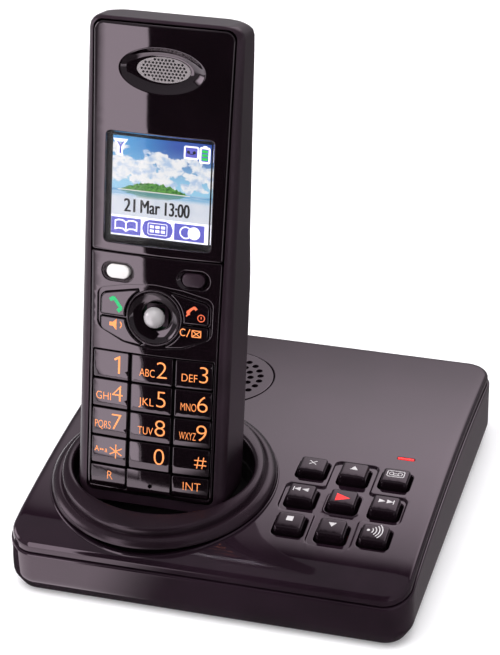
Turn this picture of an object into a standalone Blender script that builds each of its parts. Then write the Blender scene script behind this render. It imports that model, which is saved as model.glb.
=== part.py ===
"""Cordless handset standing in its answering-machine base.

Metres, +Z up. The origin is the middle of the base's footprint on the surface it stands on. The base's front
faces -Y. The handset leans back in a round cradle at the left, and the nine machine keys are at the right.
"""
from math import atan, cos, pi, radians, sin, sqrt, tan

import bmesh
import bpy
from mathutils import Matrix, Vector

MM = 0.001
GAP = 0.35 * MM          # running clearance between neighbouring pieces

# Base
BASE_WIDTH = 128.6 * MM
BASE_DEPTH = 132.8 * MM
BASE_CORNER = 9.0 * MM
BASE_WALL = 2.2 * MM
BAND_BOTTOM = 5.0 * MM
UNDERSIDE = 1.2 * MM
UNDERSIDE_INSET = 2.7 * MM
COVER_INSET = 0.6 * MM
COVER_EDGE = 1.6 * MM
GROOVE_DROP = 2.9 * MM   # from the cover's surface down to the groove
GROOVE_WIDTH = 0.7 * MM

# Cover surface: a shallow arch along Y that rolls off near the front edge
CROWN_HEIGHT = 27.64 * MM
CROWN_Y = 16.3 * MM
ARCH = 1.004             # 1/m
ROLL_START = -50.0 * MM
ROLL = 6.8               # 1/m

# Cradle
CRADLE_X = -23.4 * MM
CRADLE_Y = -28.8 * MM
CRADLE_TILT = radians(6.5)
NECK_RADIUS = 33.0 * MM
WELL_HALF_WIDTH = 29.0 * MM
WELL_HALF_DEPTH = 24.6 * MM
WELL_DEPTH = 11.0 * MM

# Handset, in its own frame: u across, v up its length, w out of its face
HANDSET_ORIGIN = Vector((-23.5, -43.4, 36.6)) * MM
HANDSET_LEAN = radians(12.9)
HANDSET_HALF_WIDTH = 24.0 * MM
HANDSET_BOTTOM = -12.5 * MM
HANDSET_TOP = 140.7 * MM
HANDSET_WALL = 1.9 * MM
RIM_FACE = -1.4 * MM
SIDE_ROUNDING = 3.2 * MM
BACK_ROUNDING = 5.0 * MM
SHELL_CORNER_LOW = 6.0 * MM
SHELL_CORNER_TOP = 4.0 * MM
BACK_LOW = -26.0 * MM
BACK_HIGH = -18.5 * MM
COVER_RECESS = 2.1 * MM  # step in the back that the battery cover fills
BATTERY_COVER_TOP = 55.0 * MM
FACE_RADIUS = 185.0 * MM
PLATE_BOTTOM = -8.2 * MM
PLATE_TOP = 139.3 * MM
PLATE_HALF_TOP = 21.8 * MM
PLATE_HALF_LOW = 20.3 * MM
PLATE_BACK = -3.0 * MM

# Number keys
KEY_PITCH = 9.4 * MM
KEY_HEIGHT = 8.9 * MM
KEY_START = 0.3 * MM
KEY_BACK = -3.7 * MM
PAD_HALF = 19.5 * MM
COLUMNS = ((-19.15 * MM, -7.5 * MM), (-6.6 * MM, 6.6 * MM), (7.5 * MM, 19.15 * MM))

# Control cluster around the joystick
DISH_V = 50.0 * MM
CLUSTER_INNER = 9.0 * MM
SOFT_KEY_V = 63.2 * MM
SOFT_KEY_U = 12.0 * MM

# Screen and earpiece
WINDOW_HALF = 16.6 * MM
WINDOW_LOW = 72.5 * MM
WINDOW_HIGH = 106.4 * MM
EAR_V = 126.0 * MM

# Base keys
KEYPAD_X = 35.0 * MM
KEYPAD_Y = -29.0 * MM
KEYPAD_PITCH_X = 13.4 * MM
KEYPAD_PITCH_Y = 14.1 * MM
BASE_KEY_WIDTH = 9.4 * MM
BASE_KEY_DEPTH = 8.6 * MM
BASE_KEY_RISE = 2.5 * MM

# Loudspeaker
SPEAKER_X = -23.2 * MM
SPEAKER_Y = 32.3 * MM
GRILLE_RADIUS = 18.0 * MM

CIRCLE_STEPS = 36


def start_scene():
    """Remove what the scene holds and make the collections for parts and cutters."""
    for item in list(bpy.data.objects):
        bpy.data.objects.remove(item, do_unlink=True)
    groups = []
    for name in ("cordless_phone", "cutters"):
        group = bpy.data.collections.new(name)
        bpy.context.scene.collection.children.link(group)
        groups.append(group)
    return groups


PARTS, CUTTERS = start_scene()


def plastic(name, colour, roughness, metallic=0.0):
    """A plain surface finish."""
    material = bpy.data.materials.new(name)
    material.use_nodes = True
    shader = material.node_tree.nodes["Principled BSDF"]
    shader.inputs["Base Color"].default_value = (*colour, 1.0)
    shader.inputs["Roughness"].default_value = roughness
    shader.inputs["Metallic"].default_value = metallic
    return material


GLOSS = plastic("gloss_black", (0.018, 0.014, 0.018), 0.08)
SATIN = plastic("satin_black", (0.030, 0.025, 0.030), 0.35)
MATT = plastic("matt_black", (0.010, 0.009, 0.010), 0.6)
KEY_GLOSS = plastic("key_black", (0.022, 0.018, 0.022), 0.12)
GREY = plastic("grille_grey", (0.30, 0.28, 0.30), 0.45)
SILVER = plastic("silver", (0.75, 0.75, 0.77), 0.25, 0.9)
WHITE = plastic("lit_white", (0.90, 0.88, 0.82), 0.4)
RED = plastic("red_light", (0.85, 0.03, 0.03), 0.3)
SCREEN = plastic("screen_blue", (0.12, 0.30, 0.60), 0.3)
CLEAR = plastic("clear_window", (0.55, 0.60, 0.65), 0.05)
BOARD = plastic("board_green", (0.02, 0.16, 0.06), 0.5)
RUBBER = plastic("rubber", (0.04, 0.04, 0.04), 0.85)
STEEL = plastic("contact_steel", (0.72, 0.70, 0.66), 0.3, 1.0)
CELL = plastic("cell_green", (0.10, 0.35, 0.16), 0.4)


# Frames

def surface(y):
    """Height of the cover's surface at a depth y."""
    return CROWN_HEIGHT - ARCH * (y - CROWN_Y) ** 2 - ROLL * max(0.0, ROLL_START - y) ** 2


def surface_frame(x, y):
    """Frame that lies on the cover's surface, its Z along the normal."""
    step = 0.5 * MM
    slope = atan((surface(y + step) - surface(y - step)) / (2 * step))
    return Matrix.Translation((x, y, surface(y))) @ Matrix.Rotation(slope, 4, "X")


def holder(name, frame):
    """An empty that carries the pieces of one sub-assembly."""
    empty = bpy.data.objects.new(name, None)
    empty.matrix_world = frame
    PARTS.objects.link(empty)
    return empty


HANDSET = holder("handset_frame", Matrix.Translation(HANDSET_ORIGIN)
                 @ Matrix.Rotation(pi / 2 - HANDSET_LEAN, 4, "X"))
CRADLE = holder("cradle_frame", Matrix.Translation((CRADLE_X, CRADLE_Y, surface(CRADLE_Y)))
                @ Matrix.Rotation(CRADLE_TILT, 4, "X"))
BASE = holder("base_frame", Matrix.Identity(4))

# How a sketch lies in its frame: across and up in the sketch, then the way it is extruded
ALONG_V = Matrix(((1, 0, 0, 0), (0, 0, -1, 0), (0, 1, 0, 0), (0, 0, 0, 1)))   # u, w, then -v
UP_V = Matrix(((1, 0, 0, 0), (0, 0, 1, 0), (0, 1, 0, 0), (0, 0, 0, 1)))       # u, w, then +v
ALONG_U = Matrix(((0, 0, 1, 0), (1, 0, 0, 0), (0, 1, 0, 0), (0, 0, 0, 1)))    # v, w, then u
FLAT = Matrix.Identity(4)                                                     # u, v, then w


def face(u):
    """Height w of the handset's arched face at u."""
    return -u * u / (2 * FACE_RADIUS)


# Outlines

def rounded(corners, steps=4):
    """Outline through (x, y, radius) corners, each one filleted."""
    outline = []
    for index, (x, y, radius) in enumerate(corners):
        corner = Vector((x, y))
        if radius == 0:
            outline.append(corner)
            continue
        back = (Vector(corners[index - 1][:2]) - corner).normalized()
        ahead = (Vector(corners[(index + 1) % len(corners)][:2]) - corner).normalized()
        half = back.angle(ahead) / 2
        centre = corner + (back + ahead).normalized() * (radius / sin(half))
        spoke = corner + back * (radius / tan(half)) - centre
        turn = (pi - 2 * half) * (-1 if back.cross(ahead) > 0 else 1)
        for step in range(steps + 1):
            outline.append(centre + Matrix.Rotation(turn * step / steps, 2) @ spoke)
    return outline


def rectangle(width, height, radius=0.0, centre=(0.0, 0.0), steps=4):
    """Filleted rectangle around a centre."""
    x, y = centre
    half_w, half_h = width / 2, height / 2
    corners = [(x - half_w, y - half_h, radius), (x + half_w, y - half_h, radius),
               (x + half_w, y + half_h, radius), (x - half_w, y + half_h, radius)]
    return rounded(corners, steps)


def ellipse(half_width, half_height, centre=(0.0, 0.0), steps=CIRCLE_STEPS):
    """Ellipse around a centre."""
    return [Vector((centre[0] + half_width * cos(2 * pi * k / steps),
                    centre[1] + half_height * sin(2 * pi * k / steps))) for k in range(steps)]


# Solids

def place(mesh, name, material, parent, is_cutter=False):
    """Make an object of a mesh that is given in its parent's frame."""
    piece = bpy.data.objects.new(name, mesh)
    piece.parent = parent
    mesh.materials.clear()
    if is_cutter:
        CUTTERS.objects.link(piece)
        piece.display_type = "WIRE"
        piece.hide_render = True
    else:
        mesh.materials.append(material)
        mesh.set_sharp_from_angle(angle=radians(35))
        PARTS.objects.link(piece)
    return piece


def tidy_mesh(mesh):
    """Weld a mesh and turn its faces outwards."""
    work = bmesh.new()
    work.from_mesh(mesh)
    bmesh.ops.remove_doubles(work, verts=work.verts, dist=1e-6)
    bmesh.ops.recalc_face_normals(work, faces=work.faces)
    if work.calc_volume(signed=True) < 0:
        bmesh.ops.reverse_faces(work, faces=work.faces)
    work.to_mesh(mesh)
    work.free()
    for polygon in mesh.polygons:
        polygon.use_smooth = True
    return mesh


def slab_mesh(outline, low, high, sketch=FLAT):
    """A closed mesh: a flat outline extruded from low to high."""
    curve = bpy.data.curves.new("outline", "CURVE")
    curve.dimensions = "2D"
    curve.fill_mode = "BOTH"
    curve.extrude = (high - low) / 2
    spline = curve.splines.new("POLY")
    spline.points.add(len(outline) - 1)
    for point, (x, y) in zip(spline.points, outline):
        point.co = (x, y, 0.0, 1.0)
    spline.use_cyclic_u = True
    drawing = bpy.data.objects.new("outline", curve)
    bpy.context.scene.collection.objects.link(drawing)
    graph = bpy.context.evaluated_depsgraph_get()
    mesh = bpy.data.meshes.new_from_object(drawing.evaluated_get(graph))
    bpy.data.objects.remove(drawing, do_unlink=True)
    bpy.data.curves.remove(curve)
    mesh.transform(sketch @ Matrix.Translation((0, 0, (low + high) / 2)))
    return tidy_mesh(mesh)


def turned_mesh(profile, steps=CIRCLE_STEPS):
    """A closed mesh: an (r, z) profile, listed from top to bottom, turned about Z."""
    mesh = bpy.data.meshes.new("profile")
    points = [(radius, 0.0, height) for radius, height in profile]
    edges = [(k, k + 1) for k in range(len(points) - 1)]
    if profile[0][0] > 0:
        edges.append((len(points) - 1, 0))
    mesh.from_pydata(points, edges, [])
    drawing = bpy.data.objects.new("profile", mesh)
    bpy.context.scene.collection.objects.link(drawing)
    screw = drawing.modifiers.new("turn", "SCREW")
    screw.steps = steps
    screw.render_steps = steps
    screw.use_merge_vertices = True
    screw.merge_threshold = 1e-5
    graph = bpy.context.evaluated_depsgraph_get()
    solid = bpy.data.meshes.new_from_object(drawing.evaluated_get(graph))
    bpy.data.objects.remove(drawing, do_unlink=True)
    return tidy_mesh(solid)


def slab(name, outline, low, high, material=None, parent=HANDSET, sketch=FLAT):
    """A flat piece, or a cutter when it has no material."""
    return place(slab_mesh(outline, low, high, sketch), name, material, parent, material is None)


def turned(name, profile, material=None, parent=HANDSET, steps=CIRCLE_STEPS, shift=(0, 0, 0), squash=1.0):
    """A turned piece, or a cutter when it has no material."""
    mesh = turned_mesh(profile, steps)
    mesh.transform(Matrix.Translation(shift) @ Matrix.Diagonal((1, squash, 1, 1)))
    return place(mesh, name, material, parent, material is None)


def shape(piece, operation, tool):
    """Boolean with another object, which becomes a cutter."""
    modifier = piece.modifiers.new(tool.name, "BOOLEAN")
    modifier.operation = operation
    modifier.object = tool
    modifier.solver = "EXACT"
    return piece


def cut(piece, tool):
    return shape(piece, "DIFFERENCE", tool)


def trim(piece, tool):
    return shape(piece, "INTERSECT", tool)


def join(piece, tool):
    return shape(piece, "UNION", tool)


def round_edges(piece, width, segments=1, angle=40):
    """Bevel the sharp edges."""
    bevel = piece.modifiers.new("rounding", "BEVEL")
    bevel.width = width
    bevel.segments = segments
    bevel.limit_method = "ANGLE"
    bevel.angle_limit = radians(angle)
    bevel.use_clamp_overlap = True
    return piece


def pivot(piece, point):
    """Move a piece's origin to a point of its parent's frame."""
    point = Vector(point)
    piece.data.transform(Matrix.Translation(-point))
    piece.location = point
    return piece


# Base casings

def surface_profile(rise, y_low, y_high, floor, steps=14):
    """Side outline (y, z) under the cover's surface, raised by a distance."""
    span = [y_low + (y_high - y_low) * k / steps for k in range(steps + 1)]
    top = [Vector((y, surface(y) + rise)) for y in span]
    return [Vector((y_low, floor)), *top, Vector((y_high, floor))]


def plan(inset):
    """Base footprint, moved inwards."""
    return rectangle(BASE_WIDTH - 2 * inset, BASE_DEPTH - 2 * inset, max(BASE_CORNER - inset, 1.0 * MM))


def under_surface(name, rise, floor, material=None, inset=-2 * MM):
    """Solid bounded above by the raised surface, as wide as the footprint moved inwards."""
    half_w, half_d = BASE_WIDTH / 2 - inset, BASE_DEPTH / 2 - inset
    outline = surface_profile(rise, -half_d, half_d, floor)
    return slab(name, outline, -half_w, half_w, material, BASE, ALONG_U)


def make_top_cover():
    cover = under_surface("base_top_cover", 0.0, -5 * MM, GLOSS, COVER_INSET)
    trim(cover, slab("cover_plan", plan(COVER_INSET), -10 * MM, 40 * MM, parent=BASE))
    round_edges(cover, COVER_EDGE, 2)
    cut(cover, under_surface("cover_skirt_trim", -GROOVE_DROP, -8 * MM))
    inside = under_surface("cover_inside", -BASE_WALL, -7 * MM)
    trim(inside, slab("cover_inside_plan", plan(COVER_INSET + BASE_WALL), -12 * MM, 40 * MM, parent=BASE))
    cut(cover, inside)
    neck_hole = slab("neck_hole", ellipse(NECK_RADIUS + GAP, NECK_RADIUS + GAP), -9 * MM, 9 * MM,
                     parent=CRADLE)
    cut(cover, neck_hole)
    return cover


def make_bottom_case():
    case = under_surface("base_bottom_case", -GROOVE_DROP - GROOVE_WIDTH, BAND_BOTTOM, GLOSS, 0.0)
    trim(case, slab("case_plan", plan(0.0), -10 * MM, 40 * MM, parent=BASE))
    join(case, slab("case_underside", plan(UNDERSIDE_INSET), UNDERSIDE, 8 * MM, parent=BASE))
    low_floor = UNDERSIDE + 2 * MM
    step = BAND_BOTTOM + 2 * MM
    cut(case, slab("case_low_hollow", plan(UNDERSIDE_INSET + BASE_WALL), low_floor, 9 * MM, parent=BASE))
    cut(case, slab("case_hollow", plan(BASE_WALL), step, 45 * MM, parent=BASE))
    return case


# Cradle

def make_cradle():
    profile = [(24, 6.9), (29.0, 6.3), (31.4, 5.7), (32.0, 5.2), (32.3, 3.3), (33.0, 3.5), (34.3, 3.3),
               (35.5, 2.4), (36.1, 1.0), (36.2, -3.5), (24, -3.5)]
    ring = turned("cradle_ring", [(r * MM, z * MM) for r, z in profile], SATIN, CRADLE)
    skirt = under_surface("ring_seat", GAP, -5 * MM)
    neck = slab("ring_neck", ellipse(NECK_RADIUS, NECK_RADIUS), -20 * MM, 9 * MM, parent=CRADLE)
    cut(skirt, neck)
    cut(ring, skirt)
    cut(ring, slab("well_mouth", ellipse(WELL_HALF_WIDTH, WELL_HALF_DEPTH), -9 * MM, 9 * MM, parent=CRADLE))

    wall = 1.6 * MM
    floor = -WELL_DEPTH
    pocket = slab("cradle_pocket", ellipse(WELL_HALF_WIDTH + wall, WELL_HALF_DEPTH + wall), floor - 2 * MM,
                  -3.9 * MM,
                  MATT, CRADLE)
    join(pocket, slab("pocket_flange", ellipse(NECK_RADIUS, NECK_RADIUS), -5.4 * MM, -3.9 * MM,
                      parent=CRADLE))
    cut(pocket, slab("pocket_hollow", ellipse(WELL_HALF_WIDTH, WELL_HALF_DEPTH), floor, 0.0, parent=CRADLE))
    seat_low = HANDSET_BOTTOM - 11 * MM
    seat = slab("pocket_seat", rectangle(34 * MM, 15 * MM, 2 * MM, (0, -12.5 * MM)), seat_low,
                HANDSET_BOTTOM - GAP,
                sketch=UP_V)
    under_floor = slab("seat_trim", ellipse(40 * MM, 40 * MM), -40 * MM, floor - 1 * MM, parent=CRADLE)
    cut(seat, under_floor)
    join(pocket, seat)
    rest = slab("pocket_backrest", rounded([(-17 * MM, -22 * MM, 0), (17 * MM, -22 * MM, 0),
                                            (15 * MM, 1 * MM, 3 * MM),
                                            (-15 * MM, 1 * MM, 3 * MM)]), BACK_LOW - 3.2 * MM,
                                            BACK_LOW - 0.8 * MM)
    cut(rest, under_floor)
    join(pocket, rest)
    return pocket


def make_charge_contacts(pocket, rear_case):
    """Sprung pins in the cradle's seat and the pads they meet under the handset."""
    for side, name in ((-1, "left"), (1, "right")):
        centre = (side * 11 * MM, -12.5 * MM)
        pin = slab("charge_contact_" + name, rectangle(5 * MM, 2.4 * MM, 0.6 * MM, centre),
                   HANDSET_BOTTOM - 4.6 * MM,
                   HANDSET_BOTTOM + 0.25 * MM, STEEL, sketch=UP_V)
        pivot(pin, (centre[0], HANDSET_BOTTOM, centre[1]))
        cut(pocket, slab("pin_slot_" + name, rectangle(5.8 * MM, 3.2 * MM, 0.8 * MM, centre),
                                         HANDSET_BOTTOM - 6.2 * MM, HANDSET_BOTTOM + 5 * MM, sketch=UP_V))
        slab("handset_contact_" + name, rectangle(7 * MM, 4.4 * MM, 0.8 * MM, centre),
             HANDSET_BOTTOM + 0.6 * MM,
             HANDSET_BOTTOM + 2.4 * MM, STEEL, sketch=UP_V)
        cut(rear_case, slab("pad_slot_" + name, rectangle(7.7 * MM, 5.1 * MM, 1 * MM, centre),
                                            HANDSET_BOTTOM - 5 * MM, HANDSET_BOTTOM + 6 * MM, sketch=UP_V))


# Handset casings

def plate_outline(grow=0.0):
    """Outline of the face plate: slightly wider at the top."""
    low, high = PLATE_HALF_LOW + grow, PLATE_HALF_TOP + grow
    bottom, top = PLATE_BOTTOM - grow, PLATE_TOP + grow
    return rounded([(-low, bottom, 2 * MM), (low, bottom, 2 * MM), (low, 44 * MM, 0), (high, top, 3 * MM),
                    (-high, top, 3 * MM), (-low, 44 * MM, 0)])


def arched(name, half_width, rise, back, low, high, material=None, steps=12):
    """Slab whose front follows the handset's arched face."""
    across = [half_width * (2 * k / steps - 1) for k in range(steps + 1)]
    outline = [Vector((u, face(u) + rise)) for u in reversed(across)]
    outline += [Vector((-half_width, back)), Vector((half_width, back))]
    return slab(name, outline, -high, -low, material, HANDSET, ALONG_V)


def make_front_case():
    plate = arched("handset_front_case", 23 * MM, 0.0, PLATE_BACK, PLATE_BOTTOM - 1 * MM,
                   PLATE_TOP + 1 * MM, GLOSS)
    trim(plate, slab("plate_outline", plate_outline(), -9 * MM, 3 * MM))
    round_edges(plate, 0.4 * MM)
    return plate


def shell_half(v):
    """Half-width of the shell at v, with its rounded bottom and top corners."""
    for distance, radius in ((v - HANDSET_BOTTOM, SHELL_CORNER_LOW), (HANDSET_TOP - v, SHELL_CORNER_TOP)):
        if distance < radius:
            return HANDSET_HALF_WIDTH - radius + sqrt(max(0.0, radius ** 2 - (radius - distance) ** 2))
    return HANDSET_HALF_WIDTH


def shell_back(v):
    """Depth w of the shell's back at v, between the knees of its side view."""
    knees = ((HANDSET_BOTTOM, -19 * MM), (HANDSET_BOTTOM + 6 * MM, BACK_LOW), (57 * MM, BACK_LOW),
             (75 * MM, -23.2 * MM),
             (HANDSET_TOP - 3 * MM, BACK_HIGH), (HANDSET_TOP, BACK_HIGH + 4 * MM))
    for (v_low, w_low), (v_high, w_high) in zip(knees, knees[1:]):
        if v <= v_high:
            return w_low + (w_high - w_low) * (v - v_low) / (v_high - v_low)
    return knees[-1][1]


def shell_section(v, inset=0.0, front=None):
    """Closed section of the shell at v, moved inwards."""
    half = shell_half(v) - inset
    end = min(v - HANDSET_BOTTOM, HANDSET_TOP - v)
    if front is None:
        front = RIM_FACE - max(0.0, 1 * MM - end)
    back = shell_back(v) + inset
    corners = [(-half, back, BACK_ROUNDING - inset), (half, back, BACK_ROUNDING - inset),
               (half, front, SIDE_ROUNDING), (-half, front, SIDE_ROUNDING)]
    return [(u, v, w) for u, w in rounded(corners, 3)]


def shell(name, inset=0.0, front=None, material=None):
    """Loft through the shell's sections from bottom to top."""
    low, high = HANDSET_BOTTOM + inset, HANDSET_TOP - inset
    stations = [low, low + 0.8 * MM, low + 2.4 * MM, HANDSET_BOTTOM + 6 * MM, 57 * MM, 75 * MM,
                HANDSET_TOP - SHELL_CORNER_TOP, high - 1.6 * MM, high - 0.6 * MM, high]
    sections = [shell_section(v, inset, front) for v in stations]
    work = bmesh.new()
    rings = [[work.verts.new(point) for point in section] for section in sections]
    for below, above in zip(rings, rings[1:]):
        for k in range(len(below)):
            work.faces.new((below[k - 1], below[k], above[k], above[k - 1]))
    work.faces.new(rings[0])
    work.faces.new(rings[-1])
    mesh = bpy.data.meshes.new(name)
    work.to_mesh(mesh)
    work.free()
    return place(tidy_mesh(mesh), name, material, HANDSET, material is None)


def make_rear_case():
    case = shell("handset_rear_case", material=SATIN)
    recess = rectangle(60 * MM, 75 * MM, 0, (0, BATTERY_COVER_TOP - 37.5 * MM))
    cut(case, slab("battery_cover_recess", recess, -40 * MM, BACK_LOW + COVER_RECESS))
    hollow = shell("case_cavity", HANDSET_WALL, -3.4 * MM)
    kept_wall = rectangle(60 * MM, 78 * MM, 0, (0, BATTERY_COVER_TOP - 37.5 * MM))
    cut(hollow, slab("battery_wall", kept_wall, -40 * MM, BACK_LOW + COVER_RECESS + HANDSET_WALL))
    cut(case, hollow)
    cut(case, slab("plate_opening", plate_outline(GAP), -4 * MM, 4 * MM))
    cut(case, slab("battery_bay", rectangle(23 * MM, 46 * MM, 2 * MM, (0, 27 * MM)), -30 * MM, -20 * MM))
    return case


def make_battery_cover():
    """Door over the battery bay, part of the shell's outer form. It slides down before it lifts off."""
    cover = shell("battery_cover", material=SATIN)
    door = rectangle(60 * MM, 75 * MM, 0, (0, BATTERY_COVER_TOP - GAP - 37.5 * MM))
    trim(cover, slab("battery_door", door, -40 * MM, BACK_LOW + COVER_RECESS - GAP))
    return cover


# Handset controls

def make_window_and_screen(plate):
    middle = (WINDOW_LOW + WINDOW_HIGH) / 2
    height = WINDOW_HIGH - WINDOW_LOW
    recess = slab("window_recess", rectangle(2 * (WINDOW_HALF + GAP), height + 2 * GAP, 1.4 * MM,
                                             (0, middle)), -2.0 * MM, 3 * MM)
    cut(plate, recess)
    cut(plate, slab("display_opening", rectangle(31.4 * MM, 31.4 * MM, 0.6 * MM, (0, middle)), -9 * MM,
                    3 * MM))
    window = arched("display_window", 17 * MM, 0.0, -1.65 * MM, WINDOW_LOW - 2 * MM, WINDOW_HIGH + 2 * MM,
                    CLEAR)
    trim(window, slab("window_outline", rectangle(2 * WINDOW_HALF, height, 1 * MM, (0, middle)), -9 * MM,
                      3 * MM))
    slab("display_panel", rectangle(36 * MM, 36 * MM, 1 * MM, (0, middle)), -5.8 * MM, -3.4 * MM, SCREEN)


def make_earpiece(plate):
    rim = [(0.0, 4.0), (14.8, 4.0), (14.4, 0.9), (12.4, -0.4), (10.2, -1.2), (8.0, -1.7), (0.0, -1.75)]
    cut(plate, turned("ear_dish", [(r * MM, z * MM) for r, z in rim], steps=28,
                                      shift=(0, EAR_V, 0), squash=0.515))
    cut(plate, slab("ear_hole", ellipse(8.6 * MM, 4.1 * MM, (0, EAR_V), 32), -9 * MM, 3 * MM))
    grille = slab("earpiece_grille", ellipse(8.2 * MM, 3.7 * MM, (0, EAR_V), 32), -2.8 * MM, -1.7 * MM, GREY)
    holes = None
    pitch = 2.0 * MM
    for row in range(-1, 2):
        for column in range(-4, 5):
            u = (column + 0.5 * (row % 2)) * pitch
            v = row * pitch * sqrt(3) / 2
            if (u / (7.4 * MM)) ** 2 + (v / (3.0 * MM)) ** 2 < 1:
                hole = ellipse(0.45 * MM, 0.45 * MM, (u, EAR_V + v), 6)
                holes = join_tool(holes, slab_mesh(hole, -4 * MM, 0.0), "ear_holes")
    cut(grille, place(holes, "ear_holes", None, HANDSET, True))
    turned("earpiece_speaker", [(0, -3.5 * MM), (10 * MM, -3.5 * MM), (10 * MM, -5.5 * MM),
                                (7 * MM, -7.6 * MM), (0, -7.6 * MM)],
           STEEL, steps=24, shift=(0, EAR_V, 0))


def join_tool(first, second, name):
    """Put two separate tool meshes into one."""
    if first is None:
        second.name = name
        return second
    work = bmesh.new()
    work.from_mesh(first)
    work.from_mesh(second)
    work.to_mesh(first)
    work.free()
    bpy.data.meshes.remove(second)
    return first


def make_number_keys(plate):
    """Twelve number keys and the two short keys under them, in one opening with a fixed middle tab."""
    low = KEY_START - 7.3 * MM
    high = KEY_START + 4 * KEY_PITCH + 0.2 * MM
    tab = 7.2 * MM
    opening = [(-PAD_HALF, low), (-tab, low), (-tab, KEY_START - 0.15 * MM), (tab, KEY_START - 0.15 * MM),
               (tab, low),
               (PAD_HALF, low), (PAD_HALF, high), (-PAD_HALF, high)]
    cut(plate, slab("keypad_opening", [Vector(p) for p in opening], -9 * MM, 3 * MM))
    names = (("key_star", "key_0", "key_hash"), ("key_7", "key_8", "key_9"), ("key_4", "key_5", "key_6"),
             ("key_1", "key_2", "key_3"))
    for row, row_names in enumerate(names):
        bottom = KEY_START + row * KEY_PITCH + (KEY_PITCH - KEY_HEIGHT) / 2
        for (left, right), name in zip(COLUMNS, row_names):
            face_key(name, left, right, bottom, bottom + KEY_HEIGHT)
    for (left, right), name in ((COLUMNS[0], "key_recall"), (COLUMNS[2], "key_intercom")):
        face_key(name, left, right, low + 0.35 * MM, KEY_START - 0.25 * MM)


def face_key(name, left, right, bottom, top):
    """A key whose top follows the arched face."""
    across = [left + (right - left) * k / 4 for k in range(5)]
    outline = [Vector((u, face(u))) for u in reversed(across)]
    outline += [Vector((left, KEY_BACK)), Vector((right, KEY_BACK))]
    key = slab(name, outline, -top, -bottom, KEY_GLOSS, HANDSET, ALONG_V)
    pivot(key, ((left + right) / 2, (bottom + top) / 2, KEY_BACK))
    return round_edges(key, 0.3 * MM)


def make_cluster(plate):
    """Talk, loudspeaker, off and clear keys around the joystick dish."""
    hub = slab("cluster_hub_wide", ellipse(CLUSTER_INNER, CLUSTER_INNER, (0, DISH_V)), -9 * MM, 4 * MM)
    hub_keys = slab("cluster_hub_keys", ellipse(CLUSTER_INNER + 0.4 * MM, CLUSTER_INNER + 0.4 * MM,
                                                (0, DISH_V)), -9 * MM, 4 * MM)
    keys = {"talk_key": (-1, True), "speaker_key": (-1, False), "off_key": (1, True), "clear_key": (1, False)}
    for side in (-1, 1):
        corners = [(17.6, 44.3, 2.4), (17.6, 56.2, 2.6), (4.6, 59.0, 0), (2.0, 50.0, 0), (2.9, 40.3, 0),
                   (9.5, 41.0, 3)]
        opening = slab("cluster_opening_%s" % ("left" if side < 0 else "right"),
                       rounded([(side * u * MM, v * MM, r * MM) for u, v, r in corners]), -9 * MM, 3 * MM)
        cut(opening, hub)
        cut(plate, opening)
    upper = [(17.2, 49.4, 0.5), (17.2, 55.9, 2.2), (5.4, 58.4, 0), (2.4, 50.0, 0)]
    lower = [(17.2, 48.6, 0.5), (2.4, 48.6, 0), (3.7, 40.8, 0), (9.4, 41.5, 3), (17.2, 44.7, 2.0)]
    for name, (side, is_upper) in keys.items():
        corners = [(side * u * MM, v * MM, r * MM) for u, v, r in (upper if is_upper else lower)]
        key = slab(name, rounded(corners), KEY_BACK, face(12 * MM) + 0.2 * MM, KEY_GLOSS)
        pivot(key, (side * 13 * MM, corners[0][1], KEY_BACK))
        cut(key, hub_keys)
        round_edges(key, 0.3 * MM)
    for side, name, material in ((-1, "soft_key_left", WHITE), (1, "soft_key_right", SATIN)):
        centre = (side * SOFT_KEY_U, SOFT_KEY_V)
        cut(plate, slab(name + "_opening", rectangle(7.8 * MM, 5.0 * MM, 2.4 * MM, centre), -9 * MM, 3 * MM))
        key = slab(name, rectangle(7.1 * MM, 4.2 * MM, 2.0 * MM, centre), KEY_BACK,
                   face(SOFT_KEY_U) + 0.3 * MM, material)
        round_edges(pivot(key, (*centre, KEY_BACK)), 0.4 * MM)


def make_joystick(plate):
    """Dish in the plate, and the ball cap on its stem and gimbal."""
    dish = [(0.0, 4.0), (9.0, 4.0), (8.2, 0.0), (7.2, -0.9), (5.6, -1.6), (4.2, -1.9), (0.0, -1.95)]
    cut(plate, turned("joystick_dish", [(r * MM, z * MM) for r, z in dish], shift=(0, DISH_V, 0)))
    cut(plate, slab("joystick_hole", ellipse(4.5 * MM, 4.5 * MM, (0, DISH_V), 32), -9 * MM, 3 * MM))
    pivot_w = -4.5 * MM
    frame = slab("joystick_gimbal", rectangle(7 * MM, 7 * MM, 1 * MM, (0, DISH_V)), -5.1 * MM, -3.9 * MM,
                 SATIN)
    cut(frame, slab("gimbal_hole", rectangle(4.6 * MM, 4.6 * MM, 0, (0, DISH_V)), -7 * MM, 0.0))
    pivot(frame, (0, DISH_V, pivot_w))
    stem = turned("joystick_stem", [(0.0, -1.9 * MM), (1.1 * MM, -1.9 * MM), (1.1 * MM, -4.0 * MM),
                                    (1.8 * MM, -4.1 * MM),
                                    (1.8 * MM, -5.1 * MM), (0.0, -5.1 * MM)], SATIN, steps=16,
                                    shift=(0, DISH_V, 0))
    pivot(stem, (0, DISH_V, pivot_w))
    radius = 3.3 * MM
    centre = -1.0 * MM
    dome = [(radius * sin(pi / 2 * k / 6), centre + radius * cos(pi / 2 * k / 6)) for k in range(7)]
    dome += [(2.9 * MM, -1.35 * MM), (0.0, -1.35 * MM)]
    cap = turned("joystick_cap", dome, SILVER, steps=24, shift=(0, DISH_V, 0))
    pivot(cap, (0, DISH_V, pivot_w))


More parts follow.
